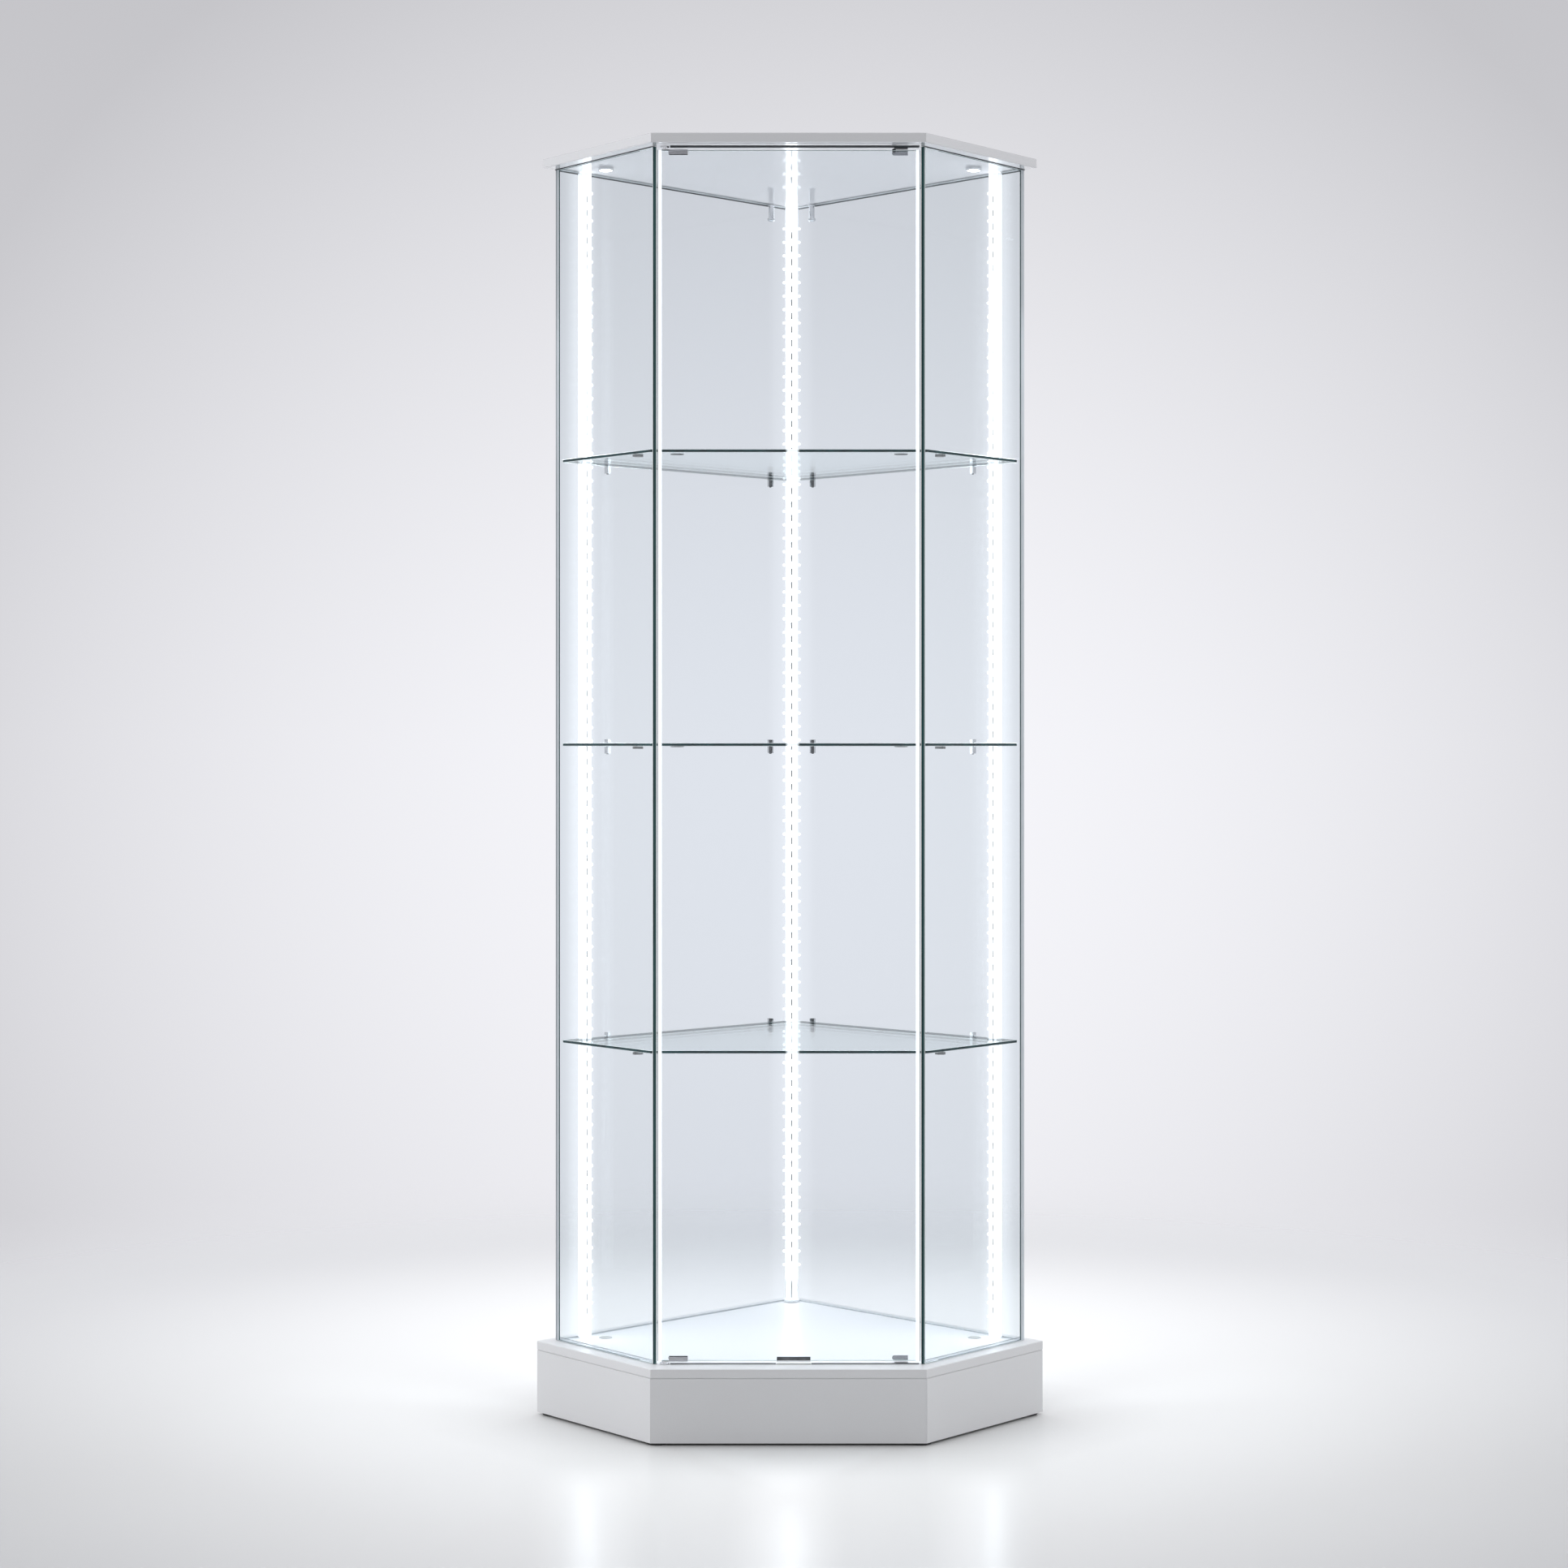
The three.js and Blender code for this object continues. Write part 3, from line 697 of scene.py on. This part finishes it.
# Shelf supports
# Chromed zinc clips grip each shelf at the back, with a small socket screw up through the lower
# arm; those beside the corner have a painted dark reflection down their middle, left out where the
# shelf passes. At the front the shelf lies on grey pads, each on a stud that is bonded to the side
# glass.
metal_grain = (90.0, 4.0)
metal_gloss_range = 0.08
screw_radius = 0.0016
screw_head = 0.0009
screw_sides = 30
socket_radius = 0.0009
socket_depth = 0.0006
socket_sides = 6
reflection_dark = (0.14, 0.145, 0.15)
reflection_light = (0.22, 0.225, 0.23)
reflection_half_width = 0.0021
clip_chrome = (0.86, 0.87, 0.88)
clip_roughness = 0.08
facing_down = Matrix.Rotation(math.pi, 4, "X")


def close_metal(tone, roughness):
    """Closes a material as bare or plated metal."""
    tree = tone.id_data
    close_material(node(tree, "BsdfPrincipled", tone, Metallic=1.0, Roughness=roughness))


def metal(name, dark, light, roughness):
    material, tree = new_material(name)
    cloud = noise(tree, *metal_grain)
    close_metal(mottled(cloud, dark, light), uneven(cloud, roughness, metal_gloss_range))
    return material


def ring(place, radius, height, sides):
    turns = [2 * math.pi * step / sides for step in range(sides)]
    flat = [(radius * math.cos(turn), radius * math.sin(turn)) for turn in turns]
    return [place @ Vector((across, along, height)) for across, along in flat]


def turned(shape, profile, place, sides=24):
    """Adds a round solid with flat ends. The profile is a list of (radius, height)."""
    loft(shape, [ring(place, radius, height, sides) for radius, height in profile])


def socket_screw(shape, place):
    """A low round screw head with a hexagonal socket, which stands along the place's +Z."""
    head = [(screw_radius, 0), (screw_radius, screw_head * 0.7), (screw_radius * 0.85, screw_head)]
    sections = [ring(place, radius, height, screw_sides) for radius, height in head]
    foot, rim = skin_rings(shape, sections)
    shape.faces.new(foot[::-1])
    heights = (screw_head, screw_head - socket_depth)
    socket = [ring(place, socket_radius, height, socket_sides) for height in heights]
    mouth, bottom = ([shape.verts.new(point) for point in points] for points in socket)
    share = screw_sides // socket_sides
    for i in range(socket_sides):
        j = (i + 1) % socket_sides
        arc = [rim[(i * share + step) % screw_sides] for step in range(share + 1)]
        shape.faces.new(arc + [mouth[j], mouth[i]])
        shape.faces.new((mouth[i], mouth[j], bottom[j], bottom[i]))
    shape.faces.new(bottom)


def underside(name, rise=0):
    """The place at the middle of a piece's underside, or a rise above it."""
    low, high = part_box(name)
    return Matrix.Translation(((low.x + high.x) / 2, (low.y + high.y) / 2, low.z + rise))


chrome = metal("chrome", (0.80, 0.81, 0.83), (0.90, 0.91, 0.92), 0.04)
dark_metal = metal("dark_metal", (0.10, 0.105, 0.11), (0.17, 0.175, 0.18), 0.30)
grey_metal = metal("grey_metal", (0.30, 0.30, 0.30), (0.38, 0.38, 0.38), 0.30)
# Painted reflection: the corner clips are painted dark down their middle, and plain chrome at their
# sides and where the shelf passes.
chrome_with_dark_reflection, tree = new_material("chrome_with_dark_reflection")
dark_reflection = mottled(noise(tree, *metal_grain), reflection_dark, reflection_light)
low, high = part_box("corner_clip_lower_right")
from_middle = maths("ABSOLUTE", position(tree, rightward))
from_band = maths("ABSOLUTE", maths("SUBTRACT", from_middle, (low.x + high.x) / 2))
is_bright = maths("GREATER_THAN", from_band, reflection_half_width)
for shelf in shelf_names:
    low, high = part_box(shelf)
    from_shelf = maths("SUBTRACT", position(tree, upward), (low.z + high.z) / 2)
    is_mouth = maths("LESS_THAN", maths("ABSOLUTE", from_shelf), (high.z - low.z) / 2)
    is_bright = maths("MAXIMUM", is_bright, is_mouth)
close_metal(blend_colours(is_bright, dark_reflection, clip_chrome), clip_roughness)
screws = bmesh.new()
for name in nodes:
    if "_clip_" in name:
        finish_node(name, chrome_with_dark_reflection if name.startswith("corner") else chrome)
        socket_screw(screws, underside(name) @ facing_down)
    if "_pad_" in name:
        finish_node(name, grey_metal)
new_piece("clip_screws", screws, dark_metal, "cabinet")


# Shelf bumpers
# Small clear grey rubber buffers, stuck under each shelf's two front corners, that a bent or
# swinging door would touch before the glass does.
bumper_from_middle = 0.141
bumper_behind_door = 0.040
bumper_length = 0.017
bumper_width = 0.008
bumper_height = 0.0012
bumper_sides = 32
grey_rubber = moulding("grey_rubber", (0.16, 0.165, 0.17), (0.22, 0.225, 0.23), 0.35)
bumpers = bmesh.new()
radius = bumper_width / 2
dome = [(radius, 0), (radius, bumper_height * 0.45), (radius * 0.93, bumper_height * 0.75)]
dome += [(radius * 0.75, bumper_height * 0.93), (radius * 0.4, bumper_height)]
for shelf in shelf_names:
    for side in (-1, 1):
        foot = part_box(shelf)[0].z
        centre = (side * bumper_from_middle, door_face_y + bumper_behind_door, foot)
        place = Matrix.Translation(centre) @ facing_down
        place = place @ Matrix.Diagonal((bumper_length / bumper_width, 1, 1, 1))
        turned(bumpers, dome, place, bumper_sides)
new_piece("shelf_bumpers", bumpers, grey_rubber, "cabinet")


# Door
# One clear sheet with polished ends. Milky profiles are pushed onto its long edges and let the
# light of the bars inside through, with a painted glow that makes them white. Their soft grey lips
# close the gaps to the side glasses.
lip_from_middle = 0.1629
lip_tone = (0.22, 0.24, 0.25)
lip_through = 0.1
seal_dark = (0.86, 0.88, 0.90)
seal_light = (0.93, 0.95, 0.97)
seal_tint = (0.95, 0.97, 1.0)
seal_glow_colour = (0.97, 0.985, 1.0)
seal_glow = 0.75
seal_stretch = (60.0, 60.0, 4.0)
seal_roughness = 0.22
seal_through = 0.4
seal_clear = 0.15
finish_node("door_glass", glass_sheet("door_glass", free_foot=True))
clear_seal, tree = new_material("clear_seal")
from_middle = maths("ABSOLUTE", position(tree, rightward))
is_lip = maths("GREATER_THAN", from_middle, lip_from_middle)
streak = noise(tree, scale=5.0, detail=3.0, stretch=seal_stretch)
# Painted glow: the milky profiles, not their lips, give off a little light of their own.
seal_body = node(
    tree, "BsdfPrincipled",
    Base_Color=blend_colours(is_lip, mottled(streak, seal_dark, seal_light), lip_tone),
    Roughness=seal_roughness,
    Emission_Color=seal_glow_colour,
    Emission_Strength=spread(is_lip, 0, 1, seal_glow, 0),
)
lit_through = node(tree, "BsdfTranslucent", Color=seal_tint)
seen_through = node(tree, "BsdfTransparent", Color=seal_tint)
through_share = spread(is_lip, 0, 1, seal_through, lip_through)
seal_body = blend_shaders(through_share, seal_body, lit_through)
close_material(blend_shaders(seal_clear, seal_body, seen_through))
for side in ("left", "right"):
    finish_node("door_seal_" + side, clear_seal)


# Door clamps and hinge bushings
# Chromed zinc clamps grip the ends of the door glass, with two socket screws each on the inside,
# and carry the pivot pins. The pins turn in flanged bushings that are pressed into the boards.
brushed_dark = (0.34, 0.35, 0.37)
brushed_light = (0.48, 0.49, 0.51)
brushed_stretch = (8.0, 8.0, 90.0)
level_face_dark_reflection = (0.07, 0.075, 0.085)
level_face_range = (0.15, 0.4)
bright_end_reflection = (0.90, 0.91, 0.92)
bright_from_glass = 0.0004
door_chrome_roughness = 0.16
clamp_screw_share = 0.3
facing_inside = Matrix.Rotation(-math.pi / 2, 4, "X")
glass_low, glass_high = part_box("door_glass")
door_chrome, tree = new_material("brushed_door_chrome")
grain = noise(tree, scale=9.0, detail=4.0, stretch=brushed_stretch)
tone = mottled(grain, brushed_dark, brushed_light)
# Painted reflections: the level faces are painted near black, and the ends past the glass are
# painted bright.
levelness = maths("ABSOLUTE", facing(tree, upward))
tone = blend_colours(spread(levelness, *level_face_range), tone, level_face_dark_reflection)
height = position(tree, upward)
below = maths("LESS_THAN", height, glass_low.z - bright_from_glass)
above = maths("GREATER_THAN", height, glass_high.z + bright_from_glass)
tone = blend_colours(maths("MAXIMUM", below, above), tone, bright_end_reflection)
close_metal(tone, door_chrome_roughness)
clamp_screws = bmesh.new()
for end in ("top", "bottom"):
    finish_node("door_clamp_" + end, door_chrome)
    finish_node("hinge_bushing_" + end, chrome)
    low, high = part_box("door_clamp_" + end)
    cheek_end = low.z if end == "top" else high.z
    glass_end = glass_high.z if end == "top" else glass_low.z
    for share in (clamp_screw_share, 1 - clamp_screw_share):
        across = low.x + (high.x - low.x) * share
        place = Matrix.Translation((across, high.y, (cheek_end + glass_end) / 2))
        socket_screw(clamp_screws, place @ facing_inside)
new_piece("door_clamp_screws", clamp_screws, dark_metal, "door")


# Door gaskets
# Soft strips that keep dust out, whose dark also stands for the shade in the gaps round the door
# and over the side glasses: a black one under the top board above the door, reaching a little in
# front of it, a grey one on the base board below it, with a gap for the magnet catch, and thin
# black ones over the side glasses.
head_gasket_height = 0.0008
head_gasket_forward = 0.006
foot_gasket_height = 0.0010
side_gasket_height = 0.0007
side_gasket_width = 0.0012
gasket_end_gap = 0.0012
black_rubber = moulding("black_rubber", (0.026, 0.029, 0.034), (0.040, 0.044, 0.050), 0.6, 0.2)
foot_rubber = moulding("foot_rubber", (0.24, 0.25, 0.27), (0.31, 0.32, 0.34), 0.5, 0.3)


def strip(shape, start, finish, out, width, level, height):
    """A flat strip with its free edges eased, that hangs from a level, or stands on it below 0."""
    ease = height / 4
    section = [(0, 0), (width, 0), (width, ease - height), (width - ease, -height)]
    section += [(ease, -height), (0, ease - height)]
    rings = []
    for point in (start, finish):
        rings.append([point + out * wide + Vector((0, 0, level + drop)) for wide, drop in section])
    loft(shape, rings)


def strip_at_door(shape, start, finish, forward, level, height):
    """A strip along the door, between two places across it, that reaches forward of its face."""
    front = glass_low.y - forward
    width = glass_high.y - glass_low.y + forward
    ends = (Vector((across, front, 0)) for across in (start, finish))
    strip(shape, *ends, backward, width, level, height)


gaskets, foot_gasket = bmesh.new(), bmesh.new()
catch_low, catch_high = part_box("magnet_catch")
first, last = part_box("hinge_bushing_top")[1].x + gasket_end_gap, glass_high.x
strip_at_door(gaskets, first, last, head_gasket_forward, ceiling_level, head_gasket_height)
before_catch, past_catch = catch_low.x - gasket_end_gap, catch_high.x + gasket_end_gap
for start, finish in ((first, before_catch), (past_catch, last)):
    strip_at_door(foot_gasket, start, finish, 0, floor_level, -foot_gasket_height)
for name in side_walls:
    inward, reach, run = wall_plane(name)
    face = extent(points_of(name), inward)[0]
    outer = [point for point in points_of(name) if inward.dot(point) < face + same_face]
    start, finish = (inward * face + run * along for along in extent(outer, run))
    strip(gaskets, start, finish, -inward, side_gasket_width, ceiling_level, side_gasket_height)
new_piece("head_gaskets", gaskets, black_rubber, "cabinet")
new_piece("foot_gasket", foot_gasket, foot_rubber, "cabinet")


# Door stops
# Small chromed angles, screwed to the boards behind the door's free edge. A rubber button on the
# upper one takes the knock of the closing door.
button_radius = 0.0024
button_from_board = 0.0036
button_height = 0.0004
facing_front = Matrix.Rotation(math.pi / 2, 4, "X")
for end in ("top", "bottom"):
    finish_node("door_stop_" + end, door_chrome)
low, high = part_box("door_stop_top")
place = Matrix.Translation((low.x + button_radius, low.y, high.z - button_from_board))
button = bmesh.new()
rounded = [(button_radius, 0), (button_radius, button_height / 2)]
rounded += [(button_radius * 0.85, button_height)]
turned(button, rounded, place @ facing_front)
new_piece("stop_button", button, black_rubber, "cabinet")


# Magnet catch and strike
# A magnet in a white nylon housing, let into the base board, holds a folded steel strike that is
# pushed over the door's lower edge. Its sides are blackened, and its bare fold mirrors the board.
strike_dark = (0.10, 0.105, 0.11)
strike_light = (0.17, 0.175, 0.18)
strike_fold = (0.80, 0.81, 0.82)
fold_above_glass_end = (0.0005, 0.0009)
strike_roughness = 0.30
white_nylon = moulding("white_nylon", (0.70, 0.70, 0.69), (0.78, 0.78, 0.77), 0.45)
finish_node("magnet_catch", white_nylon)
strike_steel, tree = new_material("strike_steel")
tone = mottled(noise(tree, *metal_grain), strike_dark, strike_light)
fold_low, fold_high = (glass_low.z + above for above in fold_above_glass_end)
is_fold = spread(position(tree, upward), fold_low, fold_high, 1, 0)
close_metal(blend_colours(is_fold, tone, strike_fold), strike_roughness)
finish_node("strike_plate", strike_steel)


# Top connectors
# Chromed studs on the back glasses, near their corner, that hold the top board down. Each ends in
# a knurled collar with a cap.
collar_radius = 0.0052
collar_height = 0.0030
collar_teeth = 24
collar_tooth = 0.0002
cap_height = 0.0016
cap_top_radius = 0.001
cap_shoulder_radius = 0.0034
cap_foot_radius = 0.0047
collars = bmesh.new()
cap = [(cap_top_radius, -cap_height), (cap_shoulder_radius, -cap_height * 0.8)]
cap += [(cap_foot_radius, 0)]
for side in ("left", "right"):
    name = "top_connector_" + side
    finish_node(name, chrome)
    place = underside(name)
    knurl = []
    for height in (0, collar_height):
        centre = place @ Vector((0, 0, height))
        knurl.append([
            centre + (point - centre) * (collar_radius - collar_tooth * (i % 2))
            for i, point in enumerate(ring(place, 1, height, collar_teeth * 2))
        ])
    loft(collars, knurl)
    turned(collars, cap, place)
new_piece("connector_collars", collars, chrome, "cabinet")


# Light bars
# Milky extruded channels, bonded to the back glasses and into the back corner, with a clear cover
# clicked in. A white tape with one emitter every 18 mm lies behind the cover, and a grey baffle
# stands between the emitters. Beside each emitter a small nub on the channel's rim carries a
# painted glint, a glow that stands for the emitter's sparkle.
emitter_pitch = {"left": 0.0179, "right": 0.0179, "back": 0.0187}
emitter_size = 0.005
emitter_height = 0.0012
tape_width = 0.008
tape_thickness = 0.0004
tape_clearance = 0.0003
tape_from_corner = 0.0022
bar_wall = 0.0012
tape_depth = bar_wall + 2 * tape_clearance
baffle_length = {"left": 0.0086, "right": 0.0086, "back": 0.0090}
baffle_width = {"left": 0.0019, "right": 0.0019, "back": 0.0021}
baffle_proud = 0.0002
nub_radius = 0.0020
nub_sides = 10
nub_profile = ((0.3, -1), (0.85, -0.6), (1, 0), (0.85, 0.6), (0.3, 1))
unlit_foot = 0.024
unlit_fade = 0.010
unlit_share = 0.1
end_margin = 0.006
lit_shade = 0.96
lit_roughness = 0.25
cover_tint = (0.97, 0.98, 0.99)
cover_cast = 10.0
cover_seen = 0.95
cover_milk = 0.55
cover_roughness = 0.05


def block(shape, place, low, high, ease=0.0):
    """A block between two corners of the place's own axes, its front edges eased."""
    outline = [(low[0], low[2]), (high[0], low[2]), (high[0], high[2]), (low[0], high[2])]
    inset = [(low[0] + ease, low[2] + ease), (high[0] - ease, low[2] + ease)]
    inset += [(high[0] - ease, high[2] - ease), (low[0] + ease, high[2] - ease)]
    depths = [(low[1], outline), (high[1] - ease, outline)] + ([(high[1], inset)] if ease else [])
    loft(shape, [[place @ Vector((x, y, z)) for x, z in points] for y, points in depths])


def glowing(name, seen, cast, fade_foot=False):
    """A lit surface: one strength where it is seen, and another for the light that it casts."""
    material, tree = new_material(name)
    shade = tuple(lit_shade * part for part in light_colour)
    strength = spread(rays_that_see(tree), 0, 1, cast, seen)
    if fade_foot:
        start = floor_level + unlit_foot
        ends = (start, start + unlit_fade, unlit_share, 1)
        strength = maths("MULTIPLY", strength, spread(position(tree, upward), *ends, smooth=True))
    cloud = noise(tree, scale=25.0, detail=3.0)
    close_material(node(
        tree, "BsdfPrincipled",
        Base_Color=mottled(cloud, shade, light_colour, 0.3, 0.7),
        Roughness=lit_roughness,
        Emission_Color=light_colour,
        Emission_Strength=strength,
    ))
    return material


def standing(centre, inward):
    """Axes at a point, with +Y in a level direction and +Z up."""
    axes = Matrix((inward.cross(upward), inward, upward)).transposed().to_4x4()
    return Matrix.Translation(centre) @ axes


def bar_place(inward, lens):
    """Axes with +Y out of the bar's mouth and +Z up, at the middle of its cover's face."""
    corners = points_of(lens)
    middle = sum(corners, Vector()) / len(corners)
    run = inward.cross(upward)
    return standing(inward * extent(corners, inward)[1] + run * run.dot(middle), inward)


def side_tape_places(side, inward, place):
    """The place of a side bar's one tape, on the floor of its channel."""
    channel_depth = inward.dot(place.translation) - wall_plane("back_glass_" + side)[1]
    return [place @ Matrix.Translation((0, tape_depth - channel_depth, 0))]


def corner_tape_places(channel):
    """The places of the corner bar's two tapes, one along each back wall."""
    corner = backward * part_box(channel)[1].y
    places = []
    for hand, wall in zip((-1, 1), back_walls):
        inward, reach, run = wall_plane(wall)
        along = run.dot(corner) + hand * (tape_width / 2 + tape_from_corner)
        places.append(standing(inward * (reach + tape_depth) + run * along, inward))
    return places


def emitter(shape, place, height):
    half = emitter_size / 2
    low = (-half, tape_thickness, height - half)
    block(shape, place, low, (half, tape_thickness + emitter_height, height + half), half / 6)


def nub(shape, place, out, height):
    profile = [(nub_radius * wide, nub_radius * high) for wide, high in nub_profile]
    spot = place @ Matrix.Translation((out, -nub_radius, height))
    turned(shape, profile, spot, nub_sides)


def baffle(shape, place, side, low, high):
    half = baffle_width[side] / 2
    block(shape, place, (-half, 0, low), (half, baffle_proud, high), baffle_proud / 2)


lit_channel = glowing("milky_channel", 0.60, 0.3)
back_channel = glowing("milky_back_channel", 0.60, 0.3, fade_foot=True)
lit_tape = glowing("lit_tape", 1.0, 1.0)
lit_emitter = glowing("lit_emitters", 6.0, 3.0)
# Painted glint: the nubs glow of themselves, for the sparkle beside each emitter.
painted_glint_nub = glowing("painted_glint_nubs", 1.1, 0.4)
grey_plastic = moulding("grey_plastic", (0.40, 0.40, 0.40), (0.48, 0.48, 0.475), 0.5)
clear_cover, tree = new_material("clear_cover")
strength = spread(rays_that_see(tree), 0, 1, cover_cast, cover_seen)
cover_open = node(tree, "BsdfTransparent", Color=cover_tint)
cover_glow = node(tree, "Emission", Color=light_colour, Strength=strength)
cover_gloss = node(tree, "BsdfGlossy", Color=(1, 1, 1), Roughness=cover_roughness)
cover_body = blend_shaders(cover_milk, cover_open, cover_glow)
close_material(blend_shaders(mirror_share(tree)[0], cover_body, cover_gloss))
tapes, emitters, baffles, nubs = (bmesh.new() for _ in range(4))
for side in ("left", "right", "back"):
    channel, lens = "led_channel_" + side, "led_lens_" + side
    in_corner = side == "back"
    inward = -backward if in_corner else wall_plane("back_glass_" + side)[0]
    finish_node(channel, back_channel if in_corner else lit_channel)
    finish_node(lens, clear_cover)
    place = bar_place(inward, lens)
    low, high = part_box(lens)
    bottom, top = low.z + (unlit_foot if in_corner else end_margin), high.z - end_margin
    tape_places = corner_tape_places(channel) if in_corner else side_tape_places(side, inward, place)
    for tape_place in tape_places:
        half = tape_width / 2
        block(tapes, tape_place, (-half, 0, bottom), (half, tape_thickness, top))
    lens_half = max(abs((place.inverted() @ point).x) for point in points_of(lens))
    channel_half = lens_half + bar_wall + tape_clearance
    pitch = emitter_pitch[side]
    count = int((top - bottom - pitch) / pitch)
    start = bottom + (top - bottom - (count - 1) * pitch) / 2
    for i in range(count):
        height = start + i * pitch
        for tape_place in tape_places:
            emitter(emitters, tape_place, height)
        for hand in (-1, 1):
            nub(nubs, place, hand * (channel_half + nub_radius), height)
        if i:
            middle, half_length = height - pitch / 2, baffle_length[side] / 2
            baffle(baffles, place, side, middle - half_length, middle + half_length)
    if in_corner:
        baffle(baffles, place, side, low.z, bottom)
new_piece("light_tapes", tapes, lit_tape, "cabinet")
new_piece("light_emitters", emitters, lit_emitter, "cabinet")
new_piece("glint_nubs", nubs, painted_glint_nub, "cabinet")
new_piece("light_baffles", baffles, grey_plastic, "cabinet")


# Ceiling lamps
# Small round spots let into the top board: a chromed rim, and a domed lens over the emitter, which
# throws a narrow beam down.
lens_rim = 0.0018
lens_seat = 0.0006
lens_rise = 0.0020
lens_rings = 5
lens_sides = 32
lamp_power = 0.50
lamp_spread = math.radians(40)
lamp_below_seat = 1.1 * lens_rise
lamp_lens = glowing("lamp_lens", 5.0, 1.0)
lamp_lenses = bmesh.new()
for side in ("left", "right"):
    name = "ceiling_lamp_" + side
    finish_node(name, chrome)
    low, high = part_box(name)
    radius = (high.x - low.x) / 2 - lens_rim
    place = underside(name, lens_seat)
    turns = [math.pi / 2 * step / lens_rings for step in range(lens_rings)]
    dome = [(radius * math.cos(turn), lens_rise * math.sin(turn)) for turn in turns]
    turned(lamp_lenses, dome, place @ facing_down, lens_sides)
    beam_data = bpy.data.lights.new("beam_" + side, "AREA")
    beam_data.shape = "DISK"
    beam_data.size = 2 * radius
    beam_data.energy = lamp_power
    beam_data.spread = lamp_spread
    beam_data.color = light_colour
    beam = bpy.data.objects.new("beam_" + side, beam_data)
    beam.location = place.translation - Vector((0, 0, lamp_below_seat))
    bpy.context.scene.collection.objects.link(beam)
new_piece("lamp_lenses", lamp_lenses, lamp_lens, "cabinet")


# Floor caps
# Two low grey caps over the cable holes that the floor has below the ceiling lamps. They are
# pressed in, and their top is dished.
cap_from_middle = 0.2405
cap_behind_door = 0.1765
cap_radius = 0.0088
cap_rise = 0.0008
cap_sides = 40
cap_plastic = moulding("cap_plastic", (0.38, 0.38, 0.38), (0.46, 0.46, 0.455), 0.5)
caps = bmesh.new()
cap = [(cap_radius, 0), (cap_radius, cap_rise * 0.5), (cap_radius * 0.9, cap_rise)]
cap += [(cap_radius * 0.72, cap_rise), (cap_radius * 0.68, cap_rise * 0.6)]
for side in (-1, 1):
    centre = (side * cap_from_middle, door_face_y + cap_behind_door, floor_level)
    turned(caps, cap, Matrix.Translation(centre), cap_sides)
new_piece("floor_caps", caps, cap_plastic, "cabinet")


# Driver and inlet
# A black moulded power supply, screwed up under the base board through two lugs, and the round
# socket for its lead in the back left plinth board, with a chromed pin.
lug_length = 0.012
lug_half_width = 0.011
lug_thickness = 0.003
lug_ease = 0.001
lug_screw_in = 0.006
pin_radius = 0.0008
pin_foot_depth = 0.012
pin_shoulder_depth = 0.0045
pin_tip_depth = 0.004
finish_node("led_driver", black_nylon)
finish_node("dc_inlet", black_nylon)
low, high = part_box("led_driver")
lugs, lug_screws = bmesh.new(), bmesh.new()
for side, edge in ((-1, low.x), (1, high.x)):
    place = Matrix.Translation((edge, (low.y + high.y) / 2, high.z))
    near, far = sorted((0, side * lug_length))
    lug_low, lug_high = (near, -lug_half_width, -lug_thickness), (far, lug_half_width, 0)
    block(lugs, place, lug_low, lug_high, lug_ease)
    spot = Matrix.Translation((side * lug_screw_in, 0, -lug_thickness))
    socket_screw(lug_screws, place @ spot @ facing_down)
new_piece("driver_lugs", lugs, black_nylon, "cabinet")
new_piece("driver_screws", lug_screws, chrome, "cabinet")
inlet_low, inlet_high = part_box("dc_inlet")
board_out = -wall_plane("back_glass_left")[0]
centre = (inlet_low + inlet_high) / 2
mouth = extent(points_of("dc_inlet"), board_out)[1]
centre += board_out * (mouth - board_out.dot(centre))
inlet_axes = board_out.to_track_quat("Z", "Y").to_matrix().to_4x4()
pin = bmesh.new()
pin_profile = [(pin_radius, -pin_foot_depth), (pin_radius, -pin_shoulder_depth)]
pin_profile += [(pin_radius * 0.4, -pin_tip_depth)]
turned(pin, pin_profile, Matrix.Translation(centre) @ inlet_axes)
new_piece("inlet_pin", pin, chrome, "cabinet")
